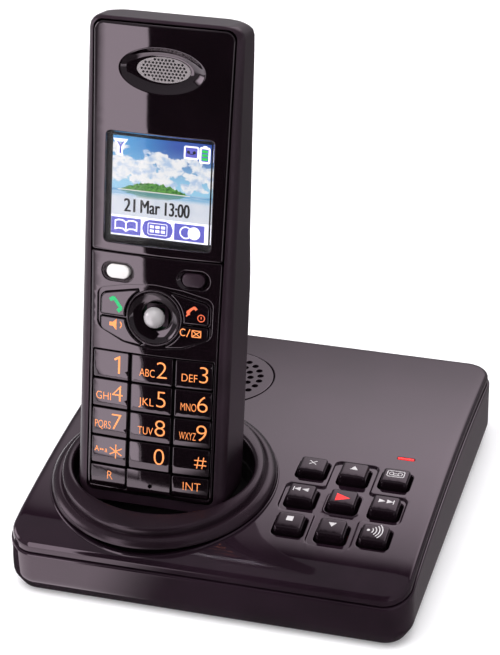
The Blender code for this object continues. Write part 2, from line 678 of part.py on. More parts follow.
def make_handset_inside():
    """Rubber mat, board, microphone and the two cells."""
    mat = slab("keypad_mat", rectangle(39 * MM, 76 * MM, 2 * MM, (0, 31 * MM)), -5.3 * MM, -4.4 * MM, RUBBER)
    cut(mat, slab("mat_joystick_hole", ellipse(6 * MM, 6 * MM, (0, DISH_V), 24), -8 * MM, 0.0))
    cut(mat, slab("mat_microphone_hole", ellipse(3.6 * MM, 3.6 * MM, (0, -2.5 * MM), 16), -8 * MM, 0.0))
    slab("handset_board", rectangle(40 * MM, 120 * MM, 3 * MM, (0, 52 * MM)), -7.6 * MM, -6.4 * MM, BOARD)
    turned("microphone", [(0.0, -3.9 * MM), (3 * MM, -3.9 * MM), (3 * MM, -5.6 * MM), (0.0, -5.6 * MM)],
           STEEL, steps=16,
           shift=(0, -2.5 * MM, 0))
    for side, name in ((-1, "battery_left"), (1, "battery_right")):
        radius = 5.2 * MM
        profile = [(0.0, 22.2 * MM), (1.9 * MM, 22.2 * MM), (1.9 * MM, 21.4 * MM), (radius, 21.4 * MM),
                   (radius, -22 * MM),
                   (0.0, -22 * MM)]
        mesh = turned_mesh(profile, 20)
        middle = (side * 5.6 * MM, 27 * MM, -17.4 * MM)
        mesh.transform(Matrix.Translation(middle) @ Matrix.Rotation(-pi / 2, 4, "X"))
        place(mesh, name, CELL, HANDSET)
    hole = slab("microphone_hole", ellipse(0.6 * MM, 0.6 * MM, (0, -2.5 * MM), 8), -9 * MM, 3 * MM)
    return hole


# Base controls

def make_base_keys(cover):
    names = (("stop_key", "down_key", "locator_key"), ("rewind_key", "play_key", "forward_key"),
             ("erase_key", "up_key", "answer_key"))
    clearance = 0.4 * MM
    for row, row_names in enumerate(names):
        for column, name in enumerate(row_names):
            x = KEYPAD_X + (column - 1) * KEYPAD_PITCH_X
            y = KEYPAD_Y + (row - 1) * KEYPAD_PITCH_Y
            frame = surface_frame(x, y)
            body = rectangle(BASE_KEY_WIDTH, BASE_KEY_DEPTH, 1.2 * MM, steps=2)
            key = slab(name, body, -5 * MM, BASE_KEY_RISE, KEY_GLOSS, None)
            flange = slab(name + "_flange", rectangle(11.2 * MM, 10.4 * MM), -3.6 * MM, -2.7 * MM,
                          parent=None)
            opening = rectangle(BASE_KEY_WIDTH + 2 * clearance, BASE_KEY_DEPTH + 2 * clearance, 1.5 * MM,
                                steps=2)
            hole = slab(name + "_hole", opening, -6 * MM, 6 * MM, parent=None)
            for item in (key, flange, hole):
                item.matrix_world = frame
            round_edges(key, 0.5 * MM)
            join(key, flange)
            cut(cover, hole)


def make_speaker(cover):
    frame = surface_frame(SPEAKER_X, SPEAKER_Y)
    grille = slab("speaker_grille", ellipse(GRILLE_RADIUS, GRILLE_RADIUS), -2.1 * MM, -0.15 * MM, GLOSS, None)
    hole = slab("grille_hole", ellipse(GRILLE_RADIUS + GAP, GRILLE_RADIUS + GAP), -8 * MM, 5 * MM,
                parent=None)
    holes = None
    pitch = 3.37 * MM
    for ring in range(5):
        count = max(1, 5 * ring)
        for k in range(count):
            angle = 2 * pi * k / count
            spot = (ring * pitch * cos(angle), ring * pitch * sin(angle))
            hole_tool = slab_mesh(ellipse(1.05 * MM, 1.05 * MM, spot, 6), -4 * MM, 2 * MM)
            holes = join_tool(holes, hole_tool, "speaker_holes")
    tool = place(holes, "speaker_holes", None, None, True)
    cone = ((0, -3.4), (16, -3.4), (16, -5), (9, -10), (9, -13.5), (0, -13.5))
    driver = turned("base_speaker", [(r * MM, z * MM) for r, z in cone], STEEL, None, 32)
    for item in (grille, hole, tool, driver):
        item.matrix_world = frame
    cut(grille, tool)
    cut(cover, hole)


def make_message_light(cover):
    frame = surface_frame(48.95 * MM, -2.2 * MM)
    light = slab("message_light", rectangle(5.3 * MM, 0.9 * MM, 0.3 * MM), -4 * MM, 0.05 * MM, RED, None)
    slot = slab("light_slot", rectangle(5.9 * MM, 1.5 * MM, 0.5 * MM), -6 * MM, 4 * MM, parent=None)
    for item in (light, slot):
        item.matrix_world = frame
    cut(cover, slot)


def make_sockets(case):
    """Line and power inlets in the back wall."""
    back = BASE_DEPTH / 2 - 0.3 * MM
    sizes = (("line_socket", -34, 14, 10.6, 9.8, 6.8), ("power_socket", 30, 12, 9.6, 7.6, 5.2))
    for name, x, width, height, mouth_w, mouth_h in sizes:
        centre = (x * MM, 13.4 * MM)
        socket = slab(name, rectangle(width * MM, height * MM, 0.6 * MM, centre, 2), back - 12 * MM, back,
                      MATT, BASE, UP_V)
        cut(socket, slab(name + "_mouth", rectangle(mouth_w * MM, mouth_h * MM, 0.4 * MM, centre, 2),
                                         back - 10 * MM, back + 5 * MM, None, BASE, UP_V))
        cut(case, slab(name + "_opening", rectangle((width + 0.7) * MM, (height + 0.7) * MM, 0.9 * MM,
                                                    centre, 2),
                                       back - 6 * MM, back + 5 * MM, None, BASE, UP_V))


def make_base_inside():
    slab("base_board", rectangle(108 * MM, 112 * MM, 5 * MM), 5.4 * MM, 7.0 * MM, BOARD, BASE)
    for name, y in (("foot_front", -50 * MM), ("foot_rear", 52 * MM)):
        slab(name, rectangle(100 * MM, 9 * MM, 4 * MM, (0, y)), 0.0, UNDERSIDE - 0.3 * MM, RUBBER, BASE)


def build():
    cover = make_top_cover()
    make_base_keys(cover)
    make_speaker(cover)
    make_message_light(cover)
    case = make_bottom_case()
    make_sockets(case)
    make_base_inside()

    plate = make_front_case()
    make_window_and_screen(plate)
    make_earpiece(plate)
    make_joystick(plate)
    make_cluster(plate)
    make_number_keys(plate)
    cut(plate, make_handset_inside())
    rear_case = make_rear_case()
    make_battery_cover()
    make_charge_contacts(make_cradle(), rear_case)


build()
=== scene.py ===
"""Looks of a cordless handset standing in its answering-machine base.

Lengths are in millimetres in each sub-assembly's own frame and become metres when a piece is placed. The
handset's frame has u across, v up its length and w out of its face. The base's frame is the row frame.
"""
from math import atan, cos, pi, radians, sin, sqrt, tan

import bmesh
import bpy
import numpy as np
from mathutils import Matrix, Vector
from mathutils.geometry import delaunay_2d_cdt


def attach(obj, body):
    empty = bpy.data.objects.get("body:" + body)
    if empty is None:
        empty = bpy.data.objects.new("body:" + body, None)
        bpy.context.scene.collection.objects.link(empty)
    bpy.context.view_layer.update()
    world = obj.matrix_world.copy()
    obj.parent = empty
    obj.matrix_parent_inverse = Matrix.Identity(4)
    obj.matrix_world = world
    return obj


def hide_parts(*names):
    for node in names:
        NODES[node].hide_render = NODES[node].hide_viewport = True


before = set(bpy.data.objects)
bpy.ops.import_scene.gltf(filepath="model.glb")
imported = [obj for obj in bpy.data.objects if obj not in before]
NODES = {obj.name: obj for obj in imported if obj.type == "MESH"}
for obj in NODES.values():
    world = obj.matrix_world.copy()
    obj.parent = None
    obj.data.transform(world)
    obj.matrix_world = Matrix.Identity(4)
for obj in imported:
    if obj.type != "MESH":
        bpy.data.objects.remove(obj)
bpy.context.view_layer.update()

MM = Matrix.Scale(0.001, 4)

# Sizes shared with the frame
BASE_WIDTH, BASE_DEPTH, BASE_CORNER = 128.6, 132.8, 9.0
CROWN_HEIGHT, CROWN_Y, ARCH = 27.64, 16.3, 0.001004
ROLL_START, ROLL = -50.0, 0.0068
CRADLE_X, CRADLE_Y, CRADLE_TILT = -23.4, -28.8, radians(6.5)
HANDSET_ORIGIN, HANDSET_LEAN = (-23.5, -43.4, 36.6), radians(12.9)
HALF, BOTTOM, TOP = 24.0, -12.5, 140.7
FACE_RADIUS = 185.0
PAD_HALF, KEY_PITCH, KEY_HEIGHT, KEY_START = 19.5, 9.4, 8.9, 0.3
COLUMNS = ((-19.15, -7.5), (-6.6, 6.6), (7.5, 19.15))
DISH_V, EAR_V, WINDOW_V = 50.0, 126.0, 89.45
SOFT_U, SOFT_V = 12.0, 63.2
KEYPAD_X, KEYPAD_Y, KEYPAD_DX, KEYPAD_DY = 35.0, -29.0, 13.4, 14.1
SPEAKER_X, SPEAKER_Y = -23.2, 32.3
SPEAKER_HOLE, SPEAKER_PITCH, SPEAKER_RINGS = 1.03, 3.37, 5
EAR_HOLE, EAR_PITCH_ACROSS, EAR_PITCH_UP = 0.39, 1.14, 0.98
JOYSTICK_RING = 9.4
HOLLOW_X, HOLLOW_Y, HOLLOW_DROP = 34.8, -29.0, 0.7
SCREEN_HALF, SCREEN_DEPTH, TAB_V = 15.4, -3.2, -12.3
LENS_PLAN, LENS_THICKNESS = (33.2, 33.9, 1.0), 1.5
WALL = 2.6


def surface(y):
    """Height of the base cover's surface at a depth y."""
    return CROWN_HEIGHT - ARCH * (y - CROWN_Y) ** 2 - ROLL * max(0.0, ROLL_START - y) ** 2


def on_cover(x, y):
    """Frame that lies on the cover, its Z along the normal."""
    slope = atan(surface(y + 0.5) - surface(y - 0.5))
    return MM @ Matrix.Translation((x, y, surface(y))) @ Matrix.Rotation(slope, 4, "X")


HANDSET = MM @ Matrix.Translation(HANDSET_ORIGIN) @ Matrix.Rotation(pi / 2 - HANDSET_LEAN, 4, "X")
CRADLE_ORIGIN = (CRADLE_X, CRADLE_Y, surface(CRADLE_Y))
CRADLE = MM @ Matrix.Translation(CRADLE_ORIGIN) @ Matrix.Rotation(CRADLE_TILT, 4, "X")
BASE = MM


def face(u, v=0.0):
    """Height of the handset's arched face."""
    return -u * u / (2 * FACE_RADIUS)


# Shader writing

class Value:
    """A node socket that adds Math nodes when it is used in an expression."""

    def __init__(self, look, socket):
        self.look, self.socket = look, socket

    def math(self, operation, *others):
        return self.look.node("Math", {"operation": operation, "inputs": (self, *others)})

    def __add__(self, other):
        return self.math("ADD", other)

    def __radd__(self, other):
        return self.math("ADD", other)

    def __sub__(self, other):
        return self.math("SUBTRACT", other)

    def __rsub__(self, other):
        return self.look.node("Math", {"operation": "SUBTRACT", "inputs": (other, self)})

    def __mul__(self, other):
        return self.math("MULTIPLY", other)

    def __rmul__(self, other):
        return self.math("MULTIPLY", other)

    def __truediv__(self, other):
        return self.math("DIVIDE", other)

    def __pow__(self, other):
        return self.math("POWER", other)

    def __lt__(self, other):
        return self.math("LESS_THAN", other)

    def __gt__(self, other):
        return self.math("GREATER_THAN", other)


    def smooth(self, low, high):
        """0 below low, 1 above high, eased between."""
        return self.look.node("MapRange", {"interpolation_type": "SMOOTHSTEP"},
                              {"Value": self, "From Min": low, "From Max": high})

    def box(self, low, high):
        """1 between two values."""
        return (self > low) * (self < high)


class Look:
    """One procedural material."""

    def __init__(self, name, colour, roughness, **constants):
        self.material = bpy.data.materials.new(name)
        self.material.use_nodes = True
        self.tree = self.material.node_tree
        self.shader = self.tree.nodes["Principled BSDF"]
        self.set(self.shader, {"Base Color": colour, "Roughness": roughness, **constants})

    def set(self, node, sockets):
        for name, value in sockets.items():
            socket = node.inputs[name]
            if isinstance(value, Value):
                self.tree.links.new(value.socket, socket)
            elif isinstance(value, (tuple, list)) and len(value) == 3 and socket.type == "RGBA":
                socket.default_value = (*value, 1.0)
            else:
                socket.default_value = value

    def node(self, kind, settings=None, sockets=None, output=0):
        """Add a node: its settings first, then its sockets."""
        node = self.tree.nodes.new("ShaderNode" + kind)
        settings = dict(settings or {})
        inputs = settings.pop("inputs", ())
        for name, value in settings.items():
            setattr(node, name, value)
        for socket, value in zip(node.inputs, inputs):
            if isinstance(value, Value):
                self.tree.links.new(value.socket, socket)
            else:
                socket.default_value = value
        self.set(node, sockets or {})
        return Value(self, node.outputs[output])

    def place(self):
        """Position on the object in its own frame."""
        return self.node("TexCoord", output=3)

    def across_and_up(self):
        """Place across and up on the object's own 0..1 map."""
        where = self.node("TexCoord", output=2)
        return [self.node("SeparateXYZ", {}, {"Vector": where}, output) for output in (0, 1)]

    def noise(self, scale, detail=2.0, where=None, roughness=0.5):
        """Clouded values about 0.5."""
        return self.node("TexNoise", {}, {"Vector": where or self.place(), "Scale": scale, "Detail": detail,
                                          "Roughness": roughness})

    def mix(self, share, first, second):
        """Blend two colours."""
        node = self.tree.nodes.new("ShaderNodeMix")
        node.data_type = "RGBA"
        for name, value in (("Factor_Float", share), ("A_Color", first), ("B_Color", second)):
            socket = next(s for s in node.inputs if s.identifier == name)
            if isinstance(value, Value):
                self.tree.links.new(value.socket, socket)
            elif name == "Factor_Float":
                socket.default_value = value
            else:
                socket.default_value = (*value, 1.0)
        return Value(self, next(s for s in node.outputs if s.identifier == "Result_Color"))

    def relief(self, height, strength, distance=0.0001):
        """Bump from a height."""
        self.set(self.shader, {"Normal": self.node("Bump", {}, {"Height": height, "Strength": strength,
                                                                "Distance": distance})})
        return self


def moulded(name, colour, roughness, grain, depth, tint=0.25, wear=0.04, **constants):
    """Moulded plastic: faint mottling of colour and gloss, and a surface grain of that scale."""
    look = Look(name, colour, roughness, **constants)
    clouds = look.noise(55.0, 3.0)
    fine = look.noise(grain, 3.0)
    darker, lighter = (tuple(c * s for c in colour) for s in (1 - tint, 1 + tint))
    look.set(look.shader, {"Base Color": look.mix(clouds.smooth(0.3, 0.7), darker, lighter),
                           "Roughness": roughness + (clouds - 0.5) * wear + (fine - 0.5) * wear})
    return look.relief(fine, depth)


GLOSS = moulded("gloss_aubergine", (0.0105, 0.0054, 0.0090), 0.055, 900.0, 0.006, wear=0.02)
FACE = moulded("gloss_face", (0.0035, 0.0018, 0.0028), 0.045, 700.0, 0.004, wear=0.015)
SATIN = moulded("satin_aubergine", (0.0150, 0.0078, 0.0125), 0.34, 4200.0, 0.10, wear=0.06)
COLLAR = moulded("collar_satin", (0.0100, 0.0052, 0.0082), 0.26, 2600.0, 0.05, wear=0.05)
KEY = moulded("key_black", (0.0060, 0.0032, 0.0050), 0.09, 1500.0, 0.01, wear=0.03)
MATT = moulded("matt_black", (0.0050, 0.0040, 0.0045), 0.62, 2600.0, 0.2)
GREY = moulded("grille_grey", (0.27, 0.24, 0.25), 0.40, 3000.0, 0.08, 0.1)
RUBBER = moulded("rubber_black", (0.020, 0.019, 0.020), 0.85, 1800.0, 0.35)
BOARD = moulded("board_green", (0.012, 0.10, 0.045), 0.40, 900.0, 0.15)
CELL = moulded("cell_wrap", (0.05, 0.22, 0.10), 0.30, 1200.0, 0.05)
DOME = moulded("joystick_silver", (0.48, 0.46, 0.47), 0.36, 2500.0, 0.04, 0.08, Metallic=0.35)
STEEL = moulded("contact_steel", (0.70, 0.67, 0.62), 0.28, 1500.0, 0.06, 0.1, Metallic=1.0)
CONE = moulded("speaker_cone", (0.030, 0.028, 0.030), 0.70, 1500.0, 0.3)

for plastic, coat in ((GLOSS, 0.45), (FACE, 1.0), (SATIN, 0.0), (COLLAR, 0.0), (KEY, 0.0)):
    plastic.set(plastic.shader, {"Specular Tint": (1.0, 0.82, 0.94), "Coat Weight": coat,
                                 "Coat Roughness": 0.03, "Coat Tint": (1.0, 0.90, 0.97)})


def glowing(name, colour, glow, roughness=0.35):
    """Translucent plastic or ink that glows: its colour is also given as emission."""
    look = moulded(name, colour, roughness, 1500.0, 0.02, 0.06)
    spots = look.noise(300.0, 2.0)
    dim = tuple(c * 0.9 for c in colour)
    look.set(look.shader, {"Emission Color": look.mix(spots, dim, colour), "Emission Strength": glow})
    return look


# Painted glow: the inks printed on the keys get their own colour as emission, though print gives no light.
ORANGE = glowing("ink_orange", (0.86, 0.27, 0.07), 0.50)
ORANGE_DEEP = glowing("ink_red_orange", (0.72, 0.13, 0.05), 0.40)
GREEN = glowing("ink_green", (0.0, 0.36, 0.11), 0.45)
INK = glowing("ink_light_grey", (0.50, 0.48, 0.49), 0.20)
INK_RED = glowing("ink_red", (0.80, 0.02, 0.02), 0.60)
LIT_WHITE = glowing("soft_key_white", (0.66, 0.64, 0.63), 0.14, 0.25)
LED = glowing("message_red", (0.85, 0.01, 0.01), 1.0, 0.25)
SCREEN_WHITE = glowing("screen_white", (0.90, 0.90, 0.94), 0.75)
SCREEN_BLUE = glowing("screen_blue", (0.085, 0.085, 0.38), 0.75)
SCREEN_BLACK = glowing("screen_black", (0.004, 0.004, 0.006), 0.1)
SCREEN_GREEN = glowing("screen_green", (0.02, 0.45, 0.05), 0.8)
GLASS = Look("window_glass", (0.97, 0.97, 0.99), 0.02)
GLASS.set(GLASS.shader, {"Transmission Weight": 1.0, "IOR": 1.18})
GLASS.set(GLASS.shader, {"Roughness": 0.012 + GLASS.noise(200.0) * 0.012})


# Outlines

def rounded(corners, steps=6):
    """Outline through (x, y, radius) corners, each one filleted."""
    outline = []
    for index, (x, y, radius) in enumerate(corners):
        corner = Vector((x, y))
        if radius == 0:
            outline.append(corner)
            continue
        back = (Vector(corners[index - 1][:2]) - corner).normalized()
        ahead = (Vector(corners[(index + 1) % len(corners)][:2]) - corner).normalized()
        half = back.angle(ahead) / 2
        centre = corner + (back + ahead).normalized() * (radius / sin(half))
        spoke = corner + back * (radius / tan(half)) - centre
        turn = (pi - 2 * half) * (-1 if back.cross(ahead) > 0 else 1)
        outline += [centre + Matrix.Rotation(turn * k / steps, 2) @ spoke for k in range(steps + 1)]
    return outline


def rectangle(width, height, radius=0.0, centre=(0.0, 0.0), steps=6):
    x, y, w, h = *centre, width / 2, height / 2
    corners = ((x - w, y - h), (x + w, y - h), (x + w, y + h), (x - w, y + h))
    return rounded([(*corner, radius) for corner in corners], steps)


def ellipse(wide, high, centre=(0.0, 0.0), steps=64):
    return [Vector((centre[0] + wide * cos(2 * pi * k / steps), centre[1] + high * sin(2 * pi * k / steps)))
            for k in range(steps)]


def area(loop):
    return sum(a.cross(b) for a, b in zip(loop, loop[1:] + loop[:1])) / 2


def dense(loop, step):
    """The outline with its long edges divided."""
    out = []
    for a, b in zip(loop, loop[1:] + loop[:1]):
        count = max(1, round((b - a).length / step))
        out += [a.lerp(b, k / count) for k in range(count)]
    return out


def offset(loop, distance):
    """Anticlockwise outline moved outwards, its corners mitred."""
    out = []
    for k, point in enumerate(loop):
        a = (point - loop[k - 1]).normalized()
        b = (loop[(k + 1) % len(loop)] - point).normalized()
        first, second = Vector((a.y, -a.x)), Vector((b.y, -b.x))
        out.append(point + (first + second) * (distance / (1 + first.dot(second))))
    return out


def edge(loop, steps, side=1):
    """Loops of a rolled edge: side 1 for an outer edge and -1 for a hole. steps are (inset, drop)."""
    loop = dense(list(loop) if area(loop) > 0 else list(reversed(loop)), 3.0)
    return [(offset(loop, -side * inset), drop) for inset, drop in steps]


def roll(radius, depth, steps=4, margin=0.08):
    """Quarter-round edge with a flat margin before it and the wall under it."""
    turn = [pi / 2 * k / steps for k in range(steps + 1)]
    quarter = [(radius * (1 - sin(a)), radius * (1 - cos(a))) for a in turn]
    return [(radius + margin, 0.0), *quarter, (0.0, depth)]


# Forms

class Form:
    """Points in millimetres and the faces between them."""

    def __init__(self):
        self.points, self.faces = [], []

    def ring(self, points):
        start = len(self.points)
        self.points += [tuple(p) for p in points]
        return list(range(start, len(self.points)))

    def strip(self, low, high):
        count = len(low)
        self.faces += [(low[k - 1], low[k], high[k], high[k - 1]) for k in range(count)]

    def join(self, other):
        start = len(self.points)
        self.points += other.points
        self.faces += [tuple(k + start for k in f) for f in other.faces]
        return self


def inside(points, loop):
    """Which of the points lie in a closed outline."""
    result = np.zeros(len(points), bool)
    x, y = points[:, 0], points[:, 1]
    for a, b in zip(loop, loop[1:] + loop[:1]):
        if a.y != b.y:
            crosses = (a.y > y) != (b.y > y)
            result ^= crosses & (x < (b.x - a.x) * (y - a.y) / (b.y - a.y) + a.x)
    return result


def panel(outer, height, holes=(), spacing=2.5):
    """Skin at height(x, y) inside the outer edge and outside the holes, with each edge's loops under it."""
    form, flat, lines, ids = Form(), [], [], []
    loops = [outer, *holes]
    for steps in loops:
        rings = [form.ring([(p.x, p.y, height(p.x, p.y) - drop) for p in loop]) for loop, drop in steps]
        for low, high in zip(rings, rings[1:]):
            form.strip(low, high)
        start = len(flat)
        flat += steps[0][0]
        ids += rings[0]
        count = len(rings[0])
        lines += [(start + k, start + (k + 1) % count) for k in range(count)]
    rim = np.array([tuple(p) for p in flat])
    low, high = rim.min(0), rim.max(0)
    grid = np.array([(x, y) for x in np.arange(low[0] + spacing / 2, high[0], spacing)
                     for y in np.arange(low[1] + spacing / 2, high[1], spacing)]).reshape(-1, 2)
    kept = inside(grid, outer[0][0])
    for steps in holes:
        kept &= ~inside(grid, steps[0][0])
    grid = grid[kept]
    if len(grid):
        gaps = np.sqrt(((grid[:, None, :] - rim[None, :, :]) ** 2).sum(2)).min(1)
        grid = grid[gaps > 0.35 * spacing]
    ids += form.ring([(x, y, height(x, y)) for x, y in grid])
    flat += [Vector(p) for p in grid]
    spots, _, faces, origins, _, _ = delaunay_2d_cdt(flat, lines, [], 0, 1e-6)
    middles = np.array([[sum(spots[k][i] for k in f) / len(f) for i in (0, 1)] for f in faces])
    kept = inside(middles, outer[0][0])
    for steps in holes:
        kept &= ~inside(middles, steps[0][0])
    known = [ids[given[0]] if given else form.ring([(p.x, p.y, height(p.x, p.y))])[0]
             for p, given in zip(spots, origins)]
    form.faces += [tuple(known[k] for k in f) for f, keep in zip(faces, kept) if keep]
    return form


def loft(rings, caps=True):
    """Skin through closed rings of the same count."""
    form = Form()
    made = [form.ring(ring) for ring in rings]
    for low, high in zip(made, made[1:]):
        form.strip(low, high)
    if caps:
        form.faces += [tuple(made[0]), tuple(reversed(made[-1]))]
    return form


def turned(profile, steps=64, centre=(0.0, 0.0)):
    """Skin of an (r, z) profile turned about Z, listed from the middle outwards."""
    rings = [[(*p, z) for p in ellipse(max(r, 1e-3), max(r, 1e-3), centre, steps)] for r, z in profile]
    form = loft(rings, False)
    if profile[0][0] == 0:
        form.faces.append(tuple(range(steps)))
    return form


def block(outline, low, high):
    """Closed prism over an outline."""
    return loft([[(*p, low) for p in outline], [(*p, high) for p in outline]])


def mesh_of(form):
    mesh = bpy.data.meshes.new("form")
    mesh.from_pydata(form.points, [], form.faces)
    work = bmesh.new()
    work.from_mesh(mesh)
    bmesh.ops.remove_doubles(work, verts=work.verts, dist=1e-4)
    bmesh.ops.recalc_face_normals(work, faces=work.faces)
    work.to_mesh(mesh)
    work.free()
    return mesh


def carve(form, *tools):
    """Closed form with closed tools cut out of it."""
    link = bpy.context.scene.collection.objects.link
    body = bpy.data.objects.new("body", mesh_of(form))
    link(body)
    cutters = []
    for tool in tools:
        cutter = bpy.data.objects.new("cutter", mesh_of(tool))
        link(cutter)
        cut = body.modifiers.new("cut", "BOOLEAN")
        cut.operation, cut.solver, cut.object = "DIFFERENCE", "EXACT", cutter
        cutters.append(cutter)
    done = bpy.data.meshes.new_from_object(body.evaluated_get(bpy.context.evaluated_depsgraph_get()))
    for item in (body, *cutters):
        bpy.data.objects.remove(item, do_unlink=True)
    return done


def piece(name, shape, where, look, body, nodes=(), sharp=42, flatter=True):
    """Place a form or mesh as a shown piece that rides on a body."""
    mesh = mesh_of(shape) if isinstance(shape, Form) else shape
    mesh.name = name
    mesh.transform(where)
    mesh.materials.clear()
    mesh.materials.append(look.material)
    mesh.polygons.foreach_set("use_smooth", [True] * len(mesh.polygons))
    mesh.set_sharp_from_angle(angle=radians(sharp))
    made = bpy.data.objects.new(name, mesh)
    bpy.context.scene.collection.objects.link(made)
    if flatter:
        weights = made.modifiers.new("normals", "WEIGHTED_NORMAL")
        weights.keep_sharp, weights.weight = True, 80
    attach(made, body)
    if nodes:
        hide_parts(*([nodes] if isinstance(nodes, str) else nodes))
    return made


# Printed marks

def letters(text, size, centre, stretch=1.0, weight=0.0, width=None):
    """Flat text as (points, faces), its width stretched or given."""
    curve = bpy.data.curves.new("text", "FONT")
    curve.body, curve.size, curve.align_x, curve.align_y = text, size, "CENTER", "CENTER"
    curve.offset = weight
    item = bpy.data.objects.new("text", curve)
    bpy.context.scene.collection.objects.link(item)
    mesh = bpy.data.meshes.new_from_object(item.evaluated_get(bpy.context.evaluated_depsgraph_get()))
    bpy.data.objects.remove(item, do_unlink=True)
    across = [v.co.x for v in mesh.vertices]
    if width:
        stretch = width / (max(across) - min(across))
    middle = (max(across) + min(across)) / 2
    points = [(centre[0] + (v.co.x - middle) * stretch, centre[1] + v.co.y) for v in mesh.vertices]
    return points, [tuple(f.vertices) for f in mesh.polygons]


def patch(outline):
    """Flat outline as (points, faces)."""
    return [tuple(p) for p in outline], [tuple(range(len(outline)))]


def band(path, width, closed=False):
    """Line of a width along a path, as (points, faces)."""
    path = [Vector(p) for p in path]
    count, points = len(path), []
    for k, p in enumerate(path):
        before = path[k - 1] if k or closed else p
        after = path[(k + 1) % count] if k < count - 1 or closed else p
        a = (p - before).normalized() if p != before else (after - p).normalized()
        b = (after - p).normalized() if after != p else a
        side = Vector((-a.y - b.y, a.x + b.x)) * (width / 2 / max(0.4, 1 + a.dot(b)))
        points += [tuple(p + side), tuple(p - side)]
    last = count if closed else count - 1
    faces = [(2 * k, 2 * k + 1, (2 * k + 3) % (2 * count), (2 * k + 2) % (2 * count)) for k in range(last)]
    return points, faces


def arc(radius, start, end, centre=(0.0, 0.0), steps=16):
    """Points along an arc, in degrees."""
    turns = [radians(start + (end - start) * k / steps) for k in range(steps + 1)]
    return [Vector((centre[0] + radius * cos(a), centre[1] + radius * sin(a))) for a in turns]


def print_on(name, marks, height, where, look, body, lift=0.035):
    """Ink on a surface: each mark is (points, faces); together they become one piece on the given body,
    lifted over the surface's height.
    """
    form = Form()
    for points, faces in marks:
        ids = form.ring([(x, y, height(x, y) + lift) for x, y in points])
        form.faces += [tuple(ids[k] for k in f) for f in faces]
    mesh = bpy.data.meshes.new(name)
    mesh.from_pydata(form.points, [], form.faces)
    work = bmesh.new()
    work.from_mesh(mesh)
    for f in work.faces:
        f.normal_update()
        if f.normal.z < 0:
            f.normal_flip()
    work.to_mesh(mesh)
    work.free()
    return piece(name, mesh, where, look, body, flatter=False)


# Base casings

def rings_of(outline, steps):
    """Rings of a solid over an outline: steps are (inset, height function of y)."""
    return [[(p.x, p.y, height(p.y)) for p in offset(outline, -inset)] for inset, height in steps]


def level(z):
    return lambda y: z


def under(drop):
    return lambda y: surface(y) - drop


def base_plan(inset):
    plan = rectangle(BASE_WIDTH - 2 * inset, BASE_DEPTH - 2 * inset, BASE_CORNER - inset, steps=16)
    return dense(plan, 3.0)


BASE_KEYS = ("stop_key", "down_key", "locator_key", "rewind_key", "play_key", "forward_key", "erase_key",
             "up_key", "answer_key")
KEY_SPOTS = {name: (KEYPAD_X + (k % 3 - 1) * KEYPAD_DX, KEYPAD_Y + (k // 3 - 1) * KEYPAD_DY)
             for k, name in enumerate(BASE_KEYS)}
CROSS_KEYS = ("down_key", "rewind_key", "play_key", "forward_key", "up_key")
KEY_OPENING = (10.1, 9.3, 1.6)


def cross_outline():
    """Plus-shaped hollow that the five middle keys stand in."""
    x, y = HOLLOW_X, HOLLOW_Y
    wide, high, arm_x, arm_y = 19.5, 20.6, 7.1, 6.5
    quarter = [(wide, arm_y, 2.2), (arm_x, arm_y, 1.1), (arm_x, high, 2.2)]
    corners = [(x + a, y + b, r) for a, b, r in quarter]
    corners += [(x - a, y + b, r) for a, b, r in reversed(quarter)]
    corners += [(x - a, y - b, r) for a, b, r in quarter]
    corners += [(x + a, y - b, r) for a, b, r in reversed(quarter)]
    return rounded(corners, 6)


def build_cover():
    lip = roll(0.32, 3.0, 3)
    holes = [edge(ellipse(34.2, 34.2, (CRADLE_X, CRADLE_Y)), roll(0.3, 2.2), -1),
             edge(ellipse(18.35, 18.35, (SPEAKER_X, SPEAKER_Y), 96), roll(0.22, 2.2, 3), -1),
             edge(rectangle(5.7, 1.3, 0.5, (48.95, -2.2)), roll(0.15, 2.2, 2), -1)]
    for name, spot in KEY_SPOTS.items():
        if name not in CROSS_KEYS:
            holes.append(edge(rectangle(*KEY_OPENING, spot), lip, -1))
    hollow = cross_outline()
    holes.append(edge(hollow, [(0.42, 0.0), (0.26, 0.03), (0.12, 0.11), (0.0, 0.28), (-0.05, 0.5),
                               (-0.2, 0.66), (-0.4, 0.7)], -1))
    skirt = [(1.6, 0.0), (1.15, 0.07), (0.75, 0.26), (0.42, 0.56), (0.18, 0.95), (0.05, 1.3), (0.0, 1.65),
             (0.0, 2.9), (0.9, 2.95)]
    cover = panel(edge(base_plan(0.6), skirt), lambda x, y: surface(y), holes, 2.2)
    piece("base_top_cover_skin", cover, BASE, GLOSS, "base", "base_top_cover")
    rim = edge(offset(hollow, -0.4), [(0.0, 0.0)])
    small = [edge(rectangle(*KEY_OPENING, KEY_SPOTS[name]), roll(0.3, WALL, 3), -1) for name in CROSS_KEYS
             if name != "play_key"]
    raised = [(0.95, 0.0), (0.8, -0.05), (0.62, -0.2), (0.42, -0.26), (0.2, -0.2), (0.05, 0.0), (0.0, 0.2),
              (0.0, 2.6)]
    small.append(edge(rectangle(*KEY_OPENING, KEY_SPOTS["play_key"]), raised, -1))
    floor = panel(rim, lambda x, y: surface(y) - HOLLOW_DROP, small, 2.0)
    piece("key_hollow_floor", floor, BASE, GLOSS, "base")


